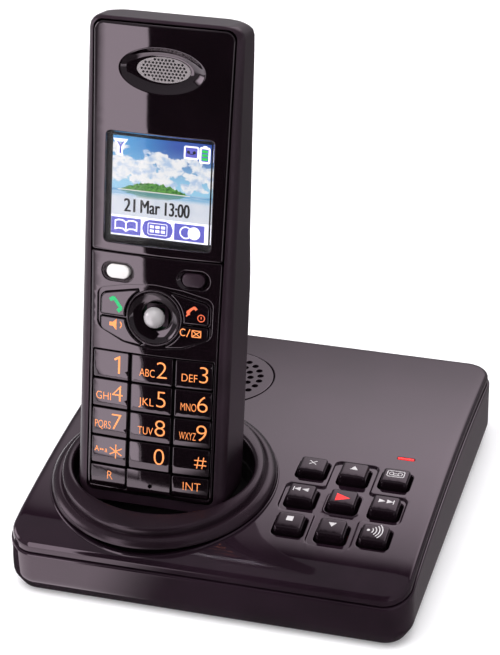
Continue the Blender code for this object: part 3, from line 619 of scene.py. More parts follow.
def build_bottom():
    plan = base_plan(0.0)
    steps = [(2.4, level(9.0)), (2.4, under(3.62)), (0.5, under(3.6)), (0.22, under(3.68)),
             (0.06, under(3.84)),
             (0.0, under(4.1)), (0.0, level(7.0)), (0.05, level(6.0)), (0.25, level(5.2)), (0.6, level(4.5)),
             (1.2, level(3.5)), (2.0, level(2.2)), (2.45, level(1.5)), (2.7, level(1.2))]
    case = loft(rings_of(plan, steps))
    tools = []
    for x, wide, high in ((-34.0, 14.7, 11.3), (30.0, 12.7, 10.3)):
        hole = rectangle(wide, high, 0.9, (x, 13.4))
        tools.append(loft([[(p.x, 54.0, p.y) for p in hole], [(p.x, 70.0, p.y) for p in hole]]))
    piece("base_bottom_case_shell", carve(case, *tools), BASE, GLOSS, "base", "base_bottom_case")


def build_cradle():
    """Collar with its stepped outer bead, ending on the cover."""
    def collar(r):
        return 6.9 - 0.12 * max(0.0, r - 24.0) - 0.011 * max(0.0, r - 27.5) ** 2

    def over_cover(p, z):
        place = CRADLE @ Vector((*p, z)) * 1000
        return z + surface(place.y) - place.z
    rings = []
    for out, drop in ((0.0, 9.5), (0.0, 2.0), (0.1, 1.2), (0.35, 0.6), (0.8, 0.2), (1.5, 0.0)):
        oval = ellipse(29.0 + out, 24.6 + out, steps=128)
        rings.append([(p.x, p.y, collar(p.length) - drop) for p in oval])
    for r, z in ((31.0, collar(31.0)), (31.5, 5.75), (31.85, 5.45), (32.05, 5.0), (32.15, 4.3), (32.2, 3.5),
                 (32.35, 3.25), (32.6, 3.32), (33.1, 3.5), (33.8, 3.42), (34.5, 3.1), (35.1, 2.62),
                 (35.5, 2.1), (35.75, 1.6), (35.85, 1.1)):
        rings.append([(*p, max(z, over_cover(p, z) + 0.3)) for p in ellipse(r, r, steps=128)])
    piece("cradle_collar", loft(rings, False), CRADLE, COLLAR, "base", "cradle_ring", 60)
    foot = [[(*p, over_cover(p, 1.0) + height) for p in ellipse(r, r, steps=128)] for r, height in
            ((35.84, 0.1), (35.86, 0.42), (35.94, 0.54), (36.08, 0.60), (36.24, 0.58), (36.38, 0.48),
             (36.48, 0.32), (36.52, 0.12), (36.52, -2.5))]
    piece("cradle_collar_foot", loft(foot, False), CRADLE, GLOSS, "base", sharp=60)


def build_grille():
    where = on_cover(SPEAKER_X, SPEAKER_Y)
    holes = []
    for ring in range(SPEAKER_RINGS):
        count = max(1, 6 * ring)
        for k in range(count):
            turn = 2 * pi * (k + 0.5 * (ring % 2)) / count
            spot = (SPEAKER_PITCH * ring * cos(turn), SPEAKER_PITCH * ring * sin(turn))
            holes.append(edge(ellipse(SPEAKER_HOLE, SPEAKER_HOLE, spot, 18), roll(0.16, 2.0, 2), -1))
    grille = panel(edge(ellipse(18.0, 18.0, steps=96), roll(0.25, 2.0, 3)), lambda x, y: -0.05, holes, 3.0)
    piece("speaker_grille_plate", grille, where, GLOSS, "base", "speaker_grille")


# Keys of the base

def key_icon(name):
    """Marks on a base key."""
    def wedge(x, side, size=1.25):
        tail = x - side * size * 0.7
        return patch(((x + side * size, 0.9), (tail, 0.9 + size * 0.72), (tail, 0.9 - size * 0.72))[::-side])
    if name == "erase_key":
        return [band(((-1.15, -0.2), (1.15, 1.7)), 0.34), band(((-1.15, 1.7), (1.15, -0.2)), 0.34)]
    if name == "up_key":
        return [patch(((-1.25, 0.0), (1.25, 0.0), (0.0, 1.9)))]
    if name == "down_key":
        return [patch(((-1.25, 1.7), (0.0, -0.2), (1.25, 1.7)))]
    if name == "stop_key":
        return [patch(rectangle(2.1, 2.1, 0.05, (0.0, 0.8)))]
    if name == "rewind_key":
        return [band(((-2.6, -0.1), (-2.6, 1.8)), 0.32), wedge(-1.3, -1), wedge(1.3, -1)]
    if name == "forward_key":
        return [band(((2.6, -0.1), (2.6, 1.8)), 0.32), wedge(1.3, 1), wedge(-1.3, 1)]
    if name == "play_key":
        return [patch(((-2.1, 1.5), (-2.1, -2.0), (2.5, -0.3)))]
    if name == "locator_key":
        marks = [patch(ellipse(0.5, 0.5, (-2.0, 0.8), 16))]
        return marks + [band(arc(r, -42, 42, (-2.0, 0.8)), 0.34) for r in (1.5, 2.5, 3.5, 4.4)]
    frame_line = band(rectangle(5.4, 2.9, 0.5, (0.0, 0.8)), 0.28, True)
    reels = [band(ellipse(0.72, 0.72, (x, 0.8), 20), 0.26, True) for x in (-1.35, 1.35)]
    return [frame_line, *reels, band(((-1.3, 0.1), (1.3, 0.1)), 0.26), band(((-0.25, 0.9), (0.25, 0.9)), 0.3)]


def build_base_keys():
    def crown(x, y):
        return 2.5 - 0.0045 * (y - 1.0) ** 2 - 0.004 * x * x - 0.10 * max(0.0, -y - 2.2) ** 2
    draft = [(1.25, 0.0), (0.98, 0.04), (0.76, 0.14), (0.58, 0.32), (0.46, 0.6), (0.36, 1.2), (0.2, 3.0),
             (0.1, 6.2)]
    for name, spot in KEY_SPOTS.items():
        where = on_cover(*spot)
        shape = panel(edge(rectangle(9.4, 8.6, 1.5), draft), crown, spacing=0.9)
        piece(name + "_cap", shape, where, KEY, name, name, 60)
        print_on(name + "_mark", key_icon(name), crown, where, INK_RED if name == "play_key" else INK, name)


# Handset casings

def plate_half(v):
    return 20.3 + max(0.0, v - 44.0) * 1.5 / 95.3


def shell_half(v):
    for distance, radius in ((v - BOTTOM, 6.0), (TOP - v, 4.0)):
        if distance < radius:
            return HALF - radius + sqrt(max(0.0, radius ** 2 - (radius - distance) ** 2))
    return HALF


def shell_back(v):
    knees = ((BOTTOM, -19.0), (BOTTOM + 2.0, -22.9), (BOTTOM + 6.0, -26.0), (57.0, -26.0), (63.0, -25.4),
             (75.0, -23.2), (TOP - 5.0, -18.6), (TOP - 2.0, -17.6), (TOP, -14.5))
    for (v_low, w_low), (v_high, w_high) in zip(knees, knees[1:]):
        if v <= v_high:
            return w_low + (w_high - w_low) * (v - v_low) / (v_high - v_low)
    return knees[-1][1]


def shell_rings(inset=0.0):
    """Sections of the handset's rear shell from bottom to top."""
    low, high = BOTTOM + inset, TOP - inset
    stations = [low, low + 0.25, low + 0.8, low + 1.6, low + 2.6, low + 4.2, low + 6.0, 10.0, 25.0, 40.0,
                52.0, 57.0,
                60.0, 63.0, 69.0, 75.0, 90.0, 105.0, 120.0, 131.0, high - 4.0, high - 2.4, high - 1.3,
                high - 0.6, high - 0.2, high]
    rings = []
    for v in stations:
        half, back = shell_half(v) - inset, shell_back(v) + inset
        tip = min(v - BOTTOM, TOP - v)
        front = -1.4 - 0.9 * max(0.0, 1.0 - tip) ** 2
        corners = [(-half, back, 5.0 - inset), (half, back, 5.0 - inset), (half, front, 3.2),
                   (-half, front, 3.2)]
        rings.append([(u, v, w) for u, w in rounded(corners, 10)])
    return rings


def plate_outline(low, high, grow=0.0, corner=3.0, wave=False):
    half_low, half_high = plate_half(low) + grow, plate_half(high) + grow
    corners = [(half_low, low - grow, 2.0 if low < 0 else 0.9), (half_high, high + grow, corner),
               (-half_high, high + grow, corner), (-half_low, low - grow, 2.0 if low < 0 else 0.9)]
    if low < 0 and high > 44:
        corners[1:1] = [(plate_half(44) + grow, 44.0, 0)]
        corners[4:4] = [(-plate_half(44) - grow, 44.0, 0)]
    if wave:
        for k in range(17):
            chin = low + 1.15 * sin(pi * k / 16) ** 2 + 0.25 * sin(pi * k / 4)
            corners.append((-17.0 + 34.0 * k / 16, chin, 0))
    return rounded(corners, 8)


def build_shell():
    body = loft(shell_rings())
    opening = block(plate_outline(-8.2, 139.3, 0.45), -9.0, 4.0)
    recess = block(rectangle(60.0, 80.0, 0, (0.0, 15.0)), -40.0, -23.9)
    bay = block(rectangle(23.0, 46.0, 2.0, (0.0, 27.0)), -30.0, -12.0)
    pads = []
    for side in (-1, 1):
        mouth = rectangle(7.7, 5.1, 1.0, (side * 11.0, -12.5))
        pads.append(loft([[(p.x, v, p.y) for p in mouth] for v in (-15.0, -8.0)]))
    piece("handset_shell", carve(body, opening, recess, bay, *pads), HANDSET, SATIN, "handset",
          "handset_rear_case", 35)
    door = carve(loft(shell_rings()), block(rectangle(60.0, 220.0, 0, (0.0, 60.0)), -24.25, 10.0),
                 block(rectangle(60.0, 120.0, 0, (0.0, 114.65)), -40.0, 10.0))
    piece("battery_door", door, HANDSET, SATIN, "battery_cover", "battery_cover", 35)
    grips = Form()
    for k in range(5):
        ridge = panel(edge(rectangle(16.0 - 1.6 * k, 1.0, 0.4, (0.0, 46.0 - 2.1 * k)), roll(0.25, 0.5, 3)),
                      lambda x, y: 26.25, spacing=4.0)
        ridge.points = [(x, y, -z) for x, y, z in ridge.points]
        grips.join(ridge)
    piece("battery_door_grips", grips, HANDSET, SATIN, "battery_cover")


def dish_rings(wide, high, steps, centre, count=64):
    """Loops of an oval dish: steps are (share of the way to the middle oval, drop)."""
    def between(pair, share):
        return pair[0] + (pair[1] - pair[0]) * share
    return [(ellipse(between(wide, s), between(high, s), centre, count), drop) for s, drop in steps]


def build_plates():
    dip = ((-0.06, 0), (0, 0), (0.03, 0.03), (0.07, 0.12), (0.14, 0.35), (0.3, 0.95), (0.5, 1.55),
           (0.7, 1.95), (0.88, 2.15), (1, 2.22), (1, 3.4))
    ear = dish_rings((13.5, 8.25), (7.0, 3.75), dip, (0.0, EAR_V), 96)
    window = edge(rectangle(33.75, 34.45, 1.5, (0.0, WINDOW_V)), roll(0.22, WALL, 3), -1)
    upper = panel(edge(plate_outline(69.4, 139.3), roll(0.55, WALL, margin=0.3)), face, [ear, window], 1.8)
    piece("face_plate_upper", upper, HANDSET, FACE, "handset", "handset_front_case")

    def oval(side):
        outline = rectangle(10.2, 6.0, 2.95, (side * SOFT_U, SOFT_V), 10)
        lip = ((-0.35, 0.0), (-0.15, 0.04), (0.0, 0.16), (0.2, 0.42), (0.55, 0.75), (0.95, 0.9), (1.05, 1.0),
               (1.05, WALL))
        return [(offset(outline, -out), drop) for out, drop in lip]
    pad = [(-18.2, 45.4, 3.2), (-9.5, 41.4, 8.0), (0.0, 40.0, 10.0), (9.5, 41.4, 8.0), (18.2, 45.4, 3.2),
           (18.3, 57.3, 2.6), (9.0, 59.5, 6.0), (0.0, 60.4, 12.0), (-9.0, 59.5, 6.0), (-18.3, 57.3, 2.6)]
    pad = rounded(pad, 8)
    rim = edge(pad, [(0.3, 0.0), (0.15, 0.03), (0.03, 0.14), (0.0, 0.35), (-0.05, 0.55)], -1)
    low = KEY_START - 7.1
    keys = [(-PAD_HALF, low, 0.5), (-7.1, low, 0.4), (-7.1, KEY_START - 0.1, 0.3),
            (7.1, KEY_START - 0.1, 0.3),
            (7.1, low, 0.4), (PAD_HALF, low, 0.5), (PAD_HALF, KEY_START + 4 * KEY_PITCH + 0.15, 0.5),
            (-PAD_HALF, KEY_START + 4 * KEY_PITCH + 0.15, 0.5)]
    keys = edge(rounded(keys, 4), roll(0.16, WALL, 3), -1)
    sound = edge(ellipse(0.55, 0.55, (0.6, -4.6), 16), roll(0.15, 2.0, 2), -1)
    lower = panel(edge(plate_outline(-8.1, 69.15, wave=True, corner=0.8), roll(0.4, WALL, margin=0.3)), face,
                  [oval(-1), oval(1), rim, keys, sound], 1.8)
    piece("face_plate_lower", lower, HANDSET, FACE, "handset")

    holes = []
    for side in (-1, 1):
        for corners in (UPPER_KEY, LOWER_KEY):
            holes.append(edge(cluster_key(side, corners, 0.28), roll(0.14, 2.0, 2), -1))
    bowl = ((8.95, 0.0), (8.85, 0.16), (8.7, 0.26), (8.52, 0.26), (8.38, 0.14), (8.3, -0.1), (8.1, -0.35),
            (7.5, -0.9), (6.6, -1.35), (5.6, -1.6), (4.9, -1.7), (4.6, -1.85), (4.5, -3.4))
    dish = [(ellipse(r, r, (0.0, DISH_V), 72), -z) for r, z in bowl]
    floor = panel([(offset(pad, 0.05), 0.0)], lambda x, y: face(x) - 0.55, [*holes, dish], 1.3)
    piece("control_pad", floor, HANDSET, FACE, "handset")


UPPER_KEY = ((17.2, 49.4, 0.6), (17.2, 55.9, 2.2), (5.4, 58.4, 0.0), 56.4, -3.0)
LOWER_KEY = ((9.4, 41.5, 3.0), (17.2, 44.7, 2.0), (17.2, 48.6, 0.6), -9.0, -67.0)


def cluster_key(side, key, grow=0.0):
    """Outline of one of the four keys round the joystick, its inner end on a circle."""
    *corners, start, end = key
    corners = list(corners)
    if end < -60:
        corners.append((*arc(JOYSTICK_RING, start, start, (0.0, DISH_V), 1)[0], 0.0))
        inner = arc(JOYSTICK_RING, start, end, (0.0, DISH_V), 12)[1:]
        corners += [(*p, 0.0) for p in inner] + [(4.4, 40.9, 0.0)]
    else:
        corners += [(*p, 0.0) for p in arc(JOYSTICK_RING, start, end, (0.0, DISH_V), 12)]
    loop = rounded([(side * u, v, r) for u, v, r in corners], 6)
    loop = loop if area(loop) > 0 else loop[::-1]
    return offset(loop, grow) if grow else loop


def build_earpiece():
    holes, straight = [], [(0.0, 0.0), (0.0, 0.8)]
    for row in range(-3, 4):
        for column in range(-7, 8):
            u, v = (column + 0.5 * (row % 2)) * EAR_PITCH_ACROSS, row * EAR_PITCH_UP
            if (u / 7.7) ** 2 + (v / 3.25) ** 2 < 1:
                holes.append(edge(ellipse(EAR_HOLE, EAR_HOLE, (u, EAR_V + v), 12), straight, -1))
    mesh = panel([(ellipse(8.35, 3.85, (0.0, EAR_V), 48), 0.0), (ellipse(8.35, 3.85, (0.0, EAR_V), 48), 0.9)],
                 lambda x, y: -1.98 - 0.002 * x * x, holes, 3.0)
    piece("earpiece_mesh", mesh, HANDSET, GREY, "handset", "earpiece_grille")


def build_joystick():
    dome = [(3.3 * sin(pi / 2 * k / 10), -1.0 + 3.3 * cos(pi / 2 * k / 10)) for k in range(11)]
    dome += [(3.25, -1.12), (3.0, -1.3), (0.001, -1.32)]
    piece("joystick_ball", turned(dome, 48, (0.0, DISH_V)), HANDSET, DOME, "joystick_cap", "joystick_cap",
          60)


# Handset keys

NUMBER_KEYS = {
    "key_star": (0, 0, "*", ""), "key_0": (0, 1, "0", ""), "key_hash": (0, 2, "#", ""),
    "key_7": (1, 0, "7", "PQRS"), "key_8": (1, 1, "8", "TUV"), "key_9": (1, 2, "9", "WXYZ"),
    "key_4": (2, 0, "4", "GHI"), "key_5": (2, 1, "5", "JKL"), "key_6": (2, 2, "6", "MNO"),
    "key_1": (3, 0, "1", ""), "key_2": (3, 1, "2", "ABC"), "key_3": (3, 2, "3", "DEF")}


def star(centre, size):
    middle, marks = Vector(centre), []
    for a in (pi / 2, pi / 2 + pi / 3, pi / 2 - pi / 3):
        arm = Vector((cos(a), sin(a))) * size
        marks.append(band([middle + arm, middle - arm], 0.34))
    return marks


def hash_mark(centre, size):
    u, v = centre
    marks = [band(((u + x - 0.25, v - size), (u + x + 0.25, v + size)), 0.30) for x in (-0.8, 0.8)]
    return marks + [band(((u - size, v + y), (u + size, v + y)), 0.30) for y in (-0.75, 0.75)]


def build_number_keys():
    for name, (row, column, digit, word) in NUMBER_KEYS.items():
        left, right = COLUMNS[column]
        low = KEY_START + row * KEY_PITCH + (KEY_PITCH - KEY_HEIGHT) / 2
        middle = ((left + right) / 2, low + KEY_HEIGHT / 2)

        def pillow(u, v, low=low):
            return face(u) - 0.028 * max(0.0, low + 2.6 - v) ** 2 - 0.02 * max(0.0, v - low - 7.6) ** 2
        shape = panel(edge(rectangle(right - left, KEY_HEIGHT, 0.45, middle, 4), roll(0.28, WALL, 3)), pillow,
                      spacing=0.95)
        piece(name + "_cap", shape, HANDSET, FACE, name, name, 60)
        at = (right - (3.5, 3.4, 2.8)[column], middle[1] + 0.2)
        if digit == "*":
            marks = star(at, 2.3)
            marks += [letters(sign, 2.5, (left + x, at[1]), 0.9) for sign, x in (("A", 1.8), ("a", 4.9))]
            marks += [patch(ellipse(0.3, 0.3, (left + x, at[1]), 12)) for x in (3.1, 3.8)]
        elif digit == "#":
            marks = hash_mark(at, 1.9)
        elif digit == "1":
            one = ((-1.2, 1.7), (0.35, 2.65), (0.35, -2.65))
            marks = [band([(at[0] + x, at[1] + y) for x, y in one], 0.62)]
        else:
            marks = [letters(digit, 7.7, at, 1.06, -0.12)]
        if word:
            spot = (left + (3.6, 5.1, 4.5)[column], middle[1] - 1.0)
            marks.append(letters(word, 3.6, spot, weight=-0.04, width=5.3 if len(word) == 4 else 4.9))
        print_on(name + "_digit", marks, pillow, HANDSET, ORANGE, name)
    for name, column, text in (("key_recall", 0, "R"), ("key_intercom", 2, "INT")):
        left, right = COLUMNS[column]
        middle = ((left + right) / 2, KEY_START - 3.6)

        def flat(u, v):
            return face(u) - 0.03 * max(0.0, -4.6 - v) ** 2
        shape = panel(edge(rectangle(right - left, 6.6, 0.45, middle, 4), roll(0.28, WALL, 3)), flat,
                      spacing=0.95)
        piece(name + "_cap", shape, HANDSET, FACE, name, name, 60)
        label = letters(text, 4.0, (middle[0] + 0.6, middle[1] + 0.2), 0.92, -0.06)
        print_on(name + "_word", [label], flat, HANDSET, ORANGE, name)


def handset_mark(centre, size, turn):
    """Telephone receiver: a bar with two cups."""
    spin = Matrix.Rotation(radians(turn), 2)

    def put(points):
        return [Vector(centre) + spin @ (Vector(p) * size) for p in points]
    bar = put(((-1.2, 0.28), (-0.9, 0.52), (0.9, 0.52), (1.2, 0.28), (1.28, -0.42), (0.72, -0.46),
               (0.62, 0.02), (-0.62, 0.02), (-0.72, -0.46), (-1.28, -0.42)))
    return patch(bar[::-1])


def build_cluster():
    def crown(u, v):
        return face(u) + 0.05 - 0.02 * max(0.0, abs(v - 49.5) - 5.5) ** 2
    horn = patch(((-14.2, 45.9), (-13.1, 45.9), (-11.9, 44.7), (-11.9, 48.3), (-13.1, 47.1), (-14.2, 47.1)))
    marks = {
        "talk_key": (GREEN, [handset_mark((-12.2, 53.0), 2.15, -52)]),
        "speaker_key": (ORANGE, [horn, band(arc(1.3, -50, 50, (-11.6, 46.5)), 0.32)]),
        "off_key": (ORANGE_DEEP, [handset_mark((11.9, 53.8), 1.45, 38),
                                  band(((10.3, 51.9), (12.2, 54.7)), 0.4),
                                  band(ellipse(1.05, 1.05, (14.9, 51.7), 28), 0.26, True),
                                  band(((14.9, 51.4), (14.9, 52.2)), 0.26)]),
        "clear_key": (ORANGE, [letters("C", 3.4, (9.3, 46.6), 0.82), band(((10.6, 45.4), (11.6, 47.9)), 0.28),
                               band(rectangle(2.7, 2.0, 0.1, (13.6, 46.6)), 0.28, True),
                               band(((12.5, 45.8), (14.7, 47.4)), 0.26),
                               band(((12.5, 47.4), (14.7, 45.8)), 0.26)])}
    cluster = (("talk_key", -1, UPPER_KEY), ("speaker_key", -1, LOWER_KEY), ("off_key", 1, UPPER_KEY),
               ("clear_key", 1, LOWER_KEY))
    for name, side, corners in cluster:
        shape = panel(edge(cluster_key(side, corners), roll(0.34, WALL, 3)), crown, spacing=0.95)
        piece(name + "_cap", shape, HANDSET, FACE, name, name, 60)
        ink, shapes = marks[name]
        print_on(name + "_mark", shapes, crown, HANDSET, ink, name)
    soft_keys = (("soft_key_left", -1, LIT_WHITE, "lit_white"), ("soft_key_right", 1, SATIN, "satin_case"))
    for name, side, look, slot in soft_keys:
        def dome(u, v, side=side):
            return face(SOFT_U) + 0.3 - 0.012 * (u - side * SOFT_U) ** 2 - 0.03 * (v - SOFT_V) ** 2
        outline = rectangle(7.2, 4.3, 2.05, (side * SOFT_U, SOFT_V), 10)
        cap = panel(edge(outline, roll(0.5, 3.0, 4)), dome, spacing=0.8)
        piece(name + "_cap", cap, HANDSET, look, name, name, 60)


# Display

def picture_look():
    """Sky with clouds over a green island and its reflection, drawn on the display's own 0..1 coordinates."""
    look = Look("display_picture", (0.0, 0.0, 0.0), 0.3)
    x, y = look.across_and_up()

    def stretched(sx, sy, detail=5.0, shift=0.0):
        spot = look.node("CombineXYZ", {}, {"X": x * sx + shift, "Y": y * sy, "Z": shift})
        return look.noise(1.0, detail, spot, 0.55)
    blue = look.mix(x.smooth(0.1, 0.7), (0.06, 0.36, 0.74), (0.035, 0.10, 0.45))
    sky = look.mix(y.smooth(0.95, 0.50), blue, (0.36, 0.70, 0.92))
    billow = stretched(5.5, 7.0, 6.0, 3.4)
    heap = billow + (0.15 - (y - 0.68) * (y - 0.68) * 4.2)
    cloud = heap.smooth(0.52, 0.57)
    shade = stretched(9.0, 11.0, 4.0, 8.1).smooth(0.34, 0.58)
    sky = look.mix(cloud, sky, look.mix(shade, (0.50, 0.66, 0.88), (1.0, 1.0, 1.0)))
    ripples = stretched(5.0, 60.0, 3.0, 1.0)
    sea = look.mix(y.smooth(0.48, 0.36), (0.13, 0.42, 0.72), (0.62, 0.82, 0.95))
    sea = look.mix(ripples.smooth(0.45, 0.7) * 0.5, sea, (0.80, 0.92, 1.0))
    trees = stretched(40.0, 40.0, 4.0, 5.0)
    ragged = look.node("TexNoise", {"noise_dimensions": "1D"}, {"W": x * 26.0, "Scale": 1.0, "Detail": 5.0})
    hump = 1.0 - ((x - 0.43) / 0.345) ** 2.0
    island = ((y - 0.470) < (hump * 0.085 + (ragged - 0.5) * 0.05)) * (y > 0.470) * (hump > 0.0)
    mirror = ((0.464 - y) < (hump * 0.07 + (ripples - 0.5) * 0.06)) * (y < 0.464) * (hump > 0.0)
    green = look.mix(trees.smooth(0.35, 0.65), (0.015, 0.13, 0.01), (0.13, 0.42, 0.05))
    image = look.mix(y > 0.475, sea, sky)
    image = look.mix(mirror * 0.75, image, (0.06, 0.26, 0.16))
    image = look.mix(island, image, green)
    beach = y.box(0.462, 0.471) * x.box(0.06, 0.80)
    image = look.mix(beach, image, (0.93, 0.92, 0.86))
    paper = look.mix(stretched(6.0, 4.0).smooth(0.3, 0.7), (0.76, 0.79, 0.88), (0.90, 0.90, 0.95))
    image = look.mix(y.smooth(0.43, 0.38) * 0.86, image, paper)
    look.set(look.shader, {"Emission Color": image, "Emission Strength": 0.85})
    return look


def build_display():
    half, count = SCREEN_HALF, 12
    form = Form()
    rows = [form.ring([(half * (2 * i / count - 1), WINDOW_V + half * (2 * j / count - 1), SCREEN_DEPTH)
                       for i in range(count + 1)]) for j in range(count + 1)]
    for low, high in zip(rows, rows[1:]):
        form.faces += [(low[k], low[k + 1], high[k + 1], high[k]) for k in range(count)]
    mesh = bpy.data.meshes.new("picture")
    mesh.from_pydata(form.points, [], form.faces)
    layer = mesh.uv_layers.new(name="picture")
    for loop in mesh.loops:
        u, v, _ = form.points[loop.vertex_index]
        layer.data[loop.index].uv = ((u + half) / (2 * half), (v - WINDOW_V + half) / (2 * half))
    piece("display_picture", mesh, HANDSET, picture_look(), "handset", flatter=False)

    def screen(name, marks, look, lift):
        shifted = [([(x, y + WINDOW_V) for x, y in points], faces) for points, faces in marks]
        print_on("display_" + name, shifted, lambda x, y: SCREEN_DEPTH, HANDSET, look, "handset",
                 lift)
    tabs = [patch(rectangle(9.4, 5.2, 0.2, (-10.6, TAB_V))), patch(rectangle(9.6, 5.4, 2.2, (-0.6, TAB_V),
                                                                             2)),
            patch(rectangle(9.5, 5.2, 0.2, (9.4, TAB_V)))]
    screen("strip", [patch(rectangle(30.6, 6.2, 0.0, (0.0, -12.2)))], SCREEN_WHITE, 0.02)
    screen("tabs", tabs, SCREEN_BLUE, 0.05)
    page = [(0.0, -1.6), (0.0, 1.0), (1.0, 1.7), (2.4, 1.75), (3.4, 1.4), (3.4, -1.2), (2.4, -0.85),
            (1.0, -0.95)]
    book = [band([(-10.6 + side * u, TAB_V + v) for u, v in page], 0.42, True) for side in (-1, 1)]
    cells = [patch(rectangle(1.25, 0.85, 0.0, (-0.6 + 1.75 * i, TAB_V + 0.65 - 1.3 * j))) for i in (-1, 0, 1)
             for j in (0, 1)]
    grid_line = band(rectangle(6.0, 3.5, 0.4, (-0.6, TAB_V)), 0.2, True)
    circles = [band(ellipse(1.75, 1.75, (8.3, TAB_V), 32), 0.42, True),
               patch(ellipse(1.95, 1.95, (10.9, TAB_V), 32))]
    aerial = [band([(-14.5, 14.0), (-11.5, 14.0), (-12.7, 12.3), (-12.7, 9.8), (-13.3, 9.8), (-13.3, 12.3)],
                   0.9, True)]
    frames = [band(rectangle(4.2, 3.5, 0.4, (9.2, 12.4)), 0.5, True),
              band(rectangle(2.8, 4.4, 0.4, (13.4, 12.0)), 0.6, True),
              band(((12.8, 14.5), (14.0, 14.5)), 0.7)]
    screen("symbols", [*book, *cells, grid_line, *circles, *aerial, *frames], SCREEN_WHITE, 0.08)
    reels = [patch(ellipse(0.5, 0.5, (x, 12.5), 16)) for x in (8.3, 10.1)]
    mast = ((-13.3, 9.9), (-12.7, 9.9), (-12.7, 12.2), (-11.7, 13.7), (-12.2, 13.7), (-13.0, 12.7),
            (-13.8, 13.7), (-14.3, 13.7), (-13.3, 12.2))
    fills = [patch(rectangle(3.6, 2.9, 0.3, (9.2, 12.4))), patch(rectangle(2.2, 3.8, 0.2, (13.4, 12.0)))]
    screen("dark_symbols", [*fills, patch(mast)], SCREEN_BLUE, 0.10)
    screen("reels", [*reels, band(((8.4, 12.0), (10.0, 12.0)), 0.25)], SCREEN_BLACK, 0.13)
    bars = [patch(rectangle(1.7, 0.8, 0.1, (13.4, 12.0 + 1.15 * k))) for k in (-1, 0, 1)]
    screen("charge_bars", bars, SCREEN_GREEN, 0.13)
    words = (("21", -9.6, 3.4), ("Mar", -3.1, 6.0), ("13:00", 5.4, 7.6))
    clock = [letters(text, 5.9, (x + shift, -6.0), width=width) for text, x, width in words
             for shift in (-0.14, 0.0, 0.14)]
    screen("clock", clock, SCREEN_BLACK, 0.06)
    glass = panel(edge(rectangle(*LENS_PLAN, (0.0, WINDOW_V)), roll(0.3, LENS_THICKNESS, 3)), face,
                  spacing=2.4)
    under_side = panel([(rectangle(*LENS_PLAN, (0.0, WINDOW_V)), 0.0)],
                       lambda x, y: face(x) - LENS_THICKNESS, spacing=2.4)
    piece("window_lens", glass.join(under_side), HANDSET, GLASS, "handset", "display_window")


# Studio

def sheet(name, corners):
    """Stage sheet, hidden from the camera, with its corners low left, low right, high right and high left."""
    mesh = bpy.data.meshes.new(name)
    mesh.from_pydata(corners, [], [(0, 1, 2, 3)])
    layer = mesh.uv_layers.new(name="sheet")
    for loop, spot in zip(layer.data, ((0, 0), (1, 0), (1, 1), (0, 1))):
        loop.uv = spot
    made = bpy.data.objects.new(name, mesh)
    bpy.context.scene.collection.objects.link(made)
    made.visible_camera = False
    return made


def light(name, corners, power, fade, colour=(1.0, 0.93, 0.98), share=0.0, mirrored=True):
    """Soft light panel, lit on its front. It fades towards its left, right, lower and upper edges, the lower
    one down to a share, and reflections see it when it is mirrored."""
    made = sheet(name, corners)
    look = Look(name, (0.0, 0.0, 0.0), 1.0)
    x, y = look.across_and_up()
    left, right, low, high = fade
    glow = x.smooth(0.0, left) * x.smooth(1.0, 1.0 - right) * y.smooth(1.0, 1.0 - high)
    glow = glow * (share + (1.0 - share) * y.smooth(0.0, low))
    glow = glow * (1.0 - look.node("NewGeometry", output=6))
    look.set(look.shader, {"Base Color": (0.0, 0.0, 0.0), "Specular IOR Level": 0.0,
                           "Emission Strength": power,
                           "Emission Color": look.mix(glow, (0.0, 0.0, 0.0), colour)})
    made.data.materials.append(look.material)
    made.visible_glossy = mirrored
    return made


def facing(centre, target, width, height):
    """Corners of an upright sheet turned to a target."""
    away = (Vector(centre) - Vector(target)).normalized()
    turn = (-away).to_track_quat("Z", "Y").to_matrix()
    return [Vector(centre) + turn @ Vector((x * width / 2, y * height / 2, 0.0))
            for x, y in ((-1, -1), (1, -1), (1, 1), (-1, 1))]


def laid(left, right, near, far, height):
    """Corners of a sheet that lies just over the floor."""
    return [(left, near, height), (right, near, height), (right, far, height), (left, far, height)]


def painted_reflection(name, corners, level, glow=0.0, turn=(0.0, 0.01)):
    """Sheet that only reflections see, a painted reflection: a glow on its left, a painted highlight, which
    turns to the level between two places; a low level is painted shade in place of the pale floor.
    """
    made = sheet(name, corners)
    made.visible_diffuse = made.visible_shadow = made.visible_transmission = False
    look = moulded(name, (0.0, 0.0, 0.0), 1.0, 40.0, 0.0)
    across, _ = look.across_and_up()
    left, right = ((power, power * 0.93, power * 0.97) for power in (glow, level))
    look.set(look.shader, {"Base Color": (0.0, 0.0, 0.0), "Specular IOR Level": 0.0, "Emission Strength": 1.0,
                           "Emission Color": look.mix(across.smooth(*turn), left, right)})
    made.data.materials.append(look.material)


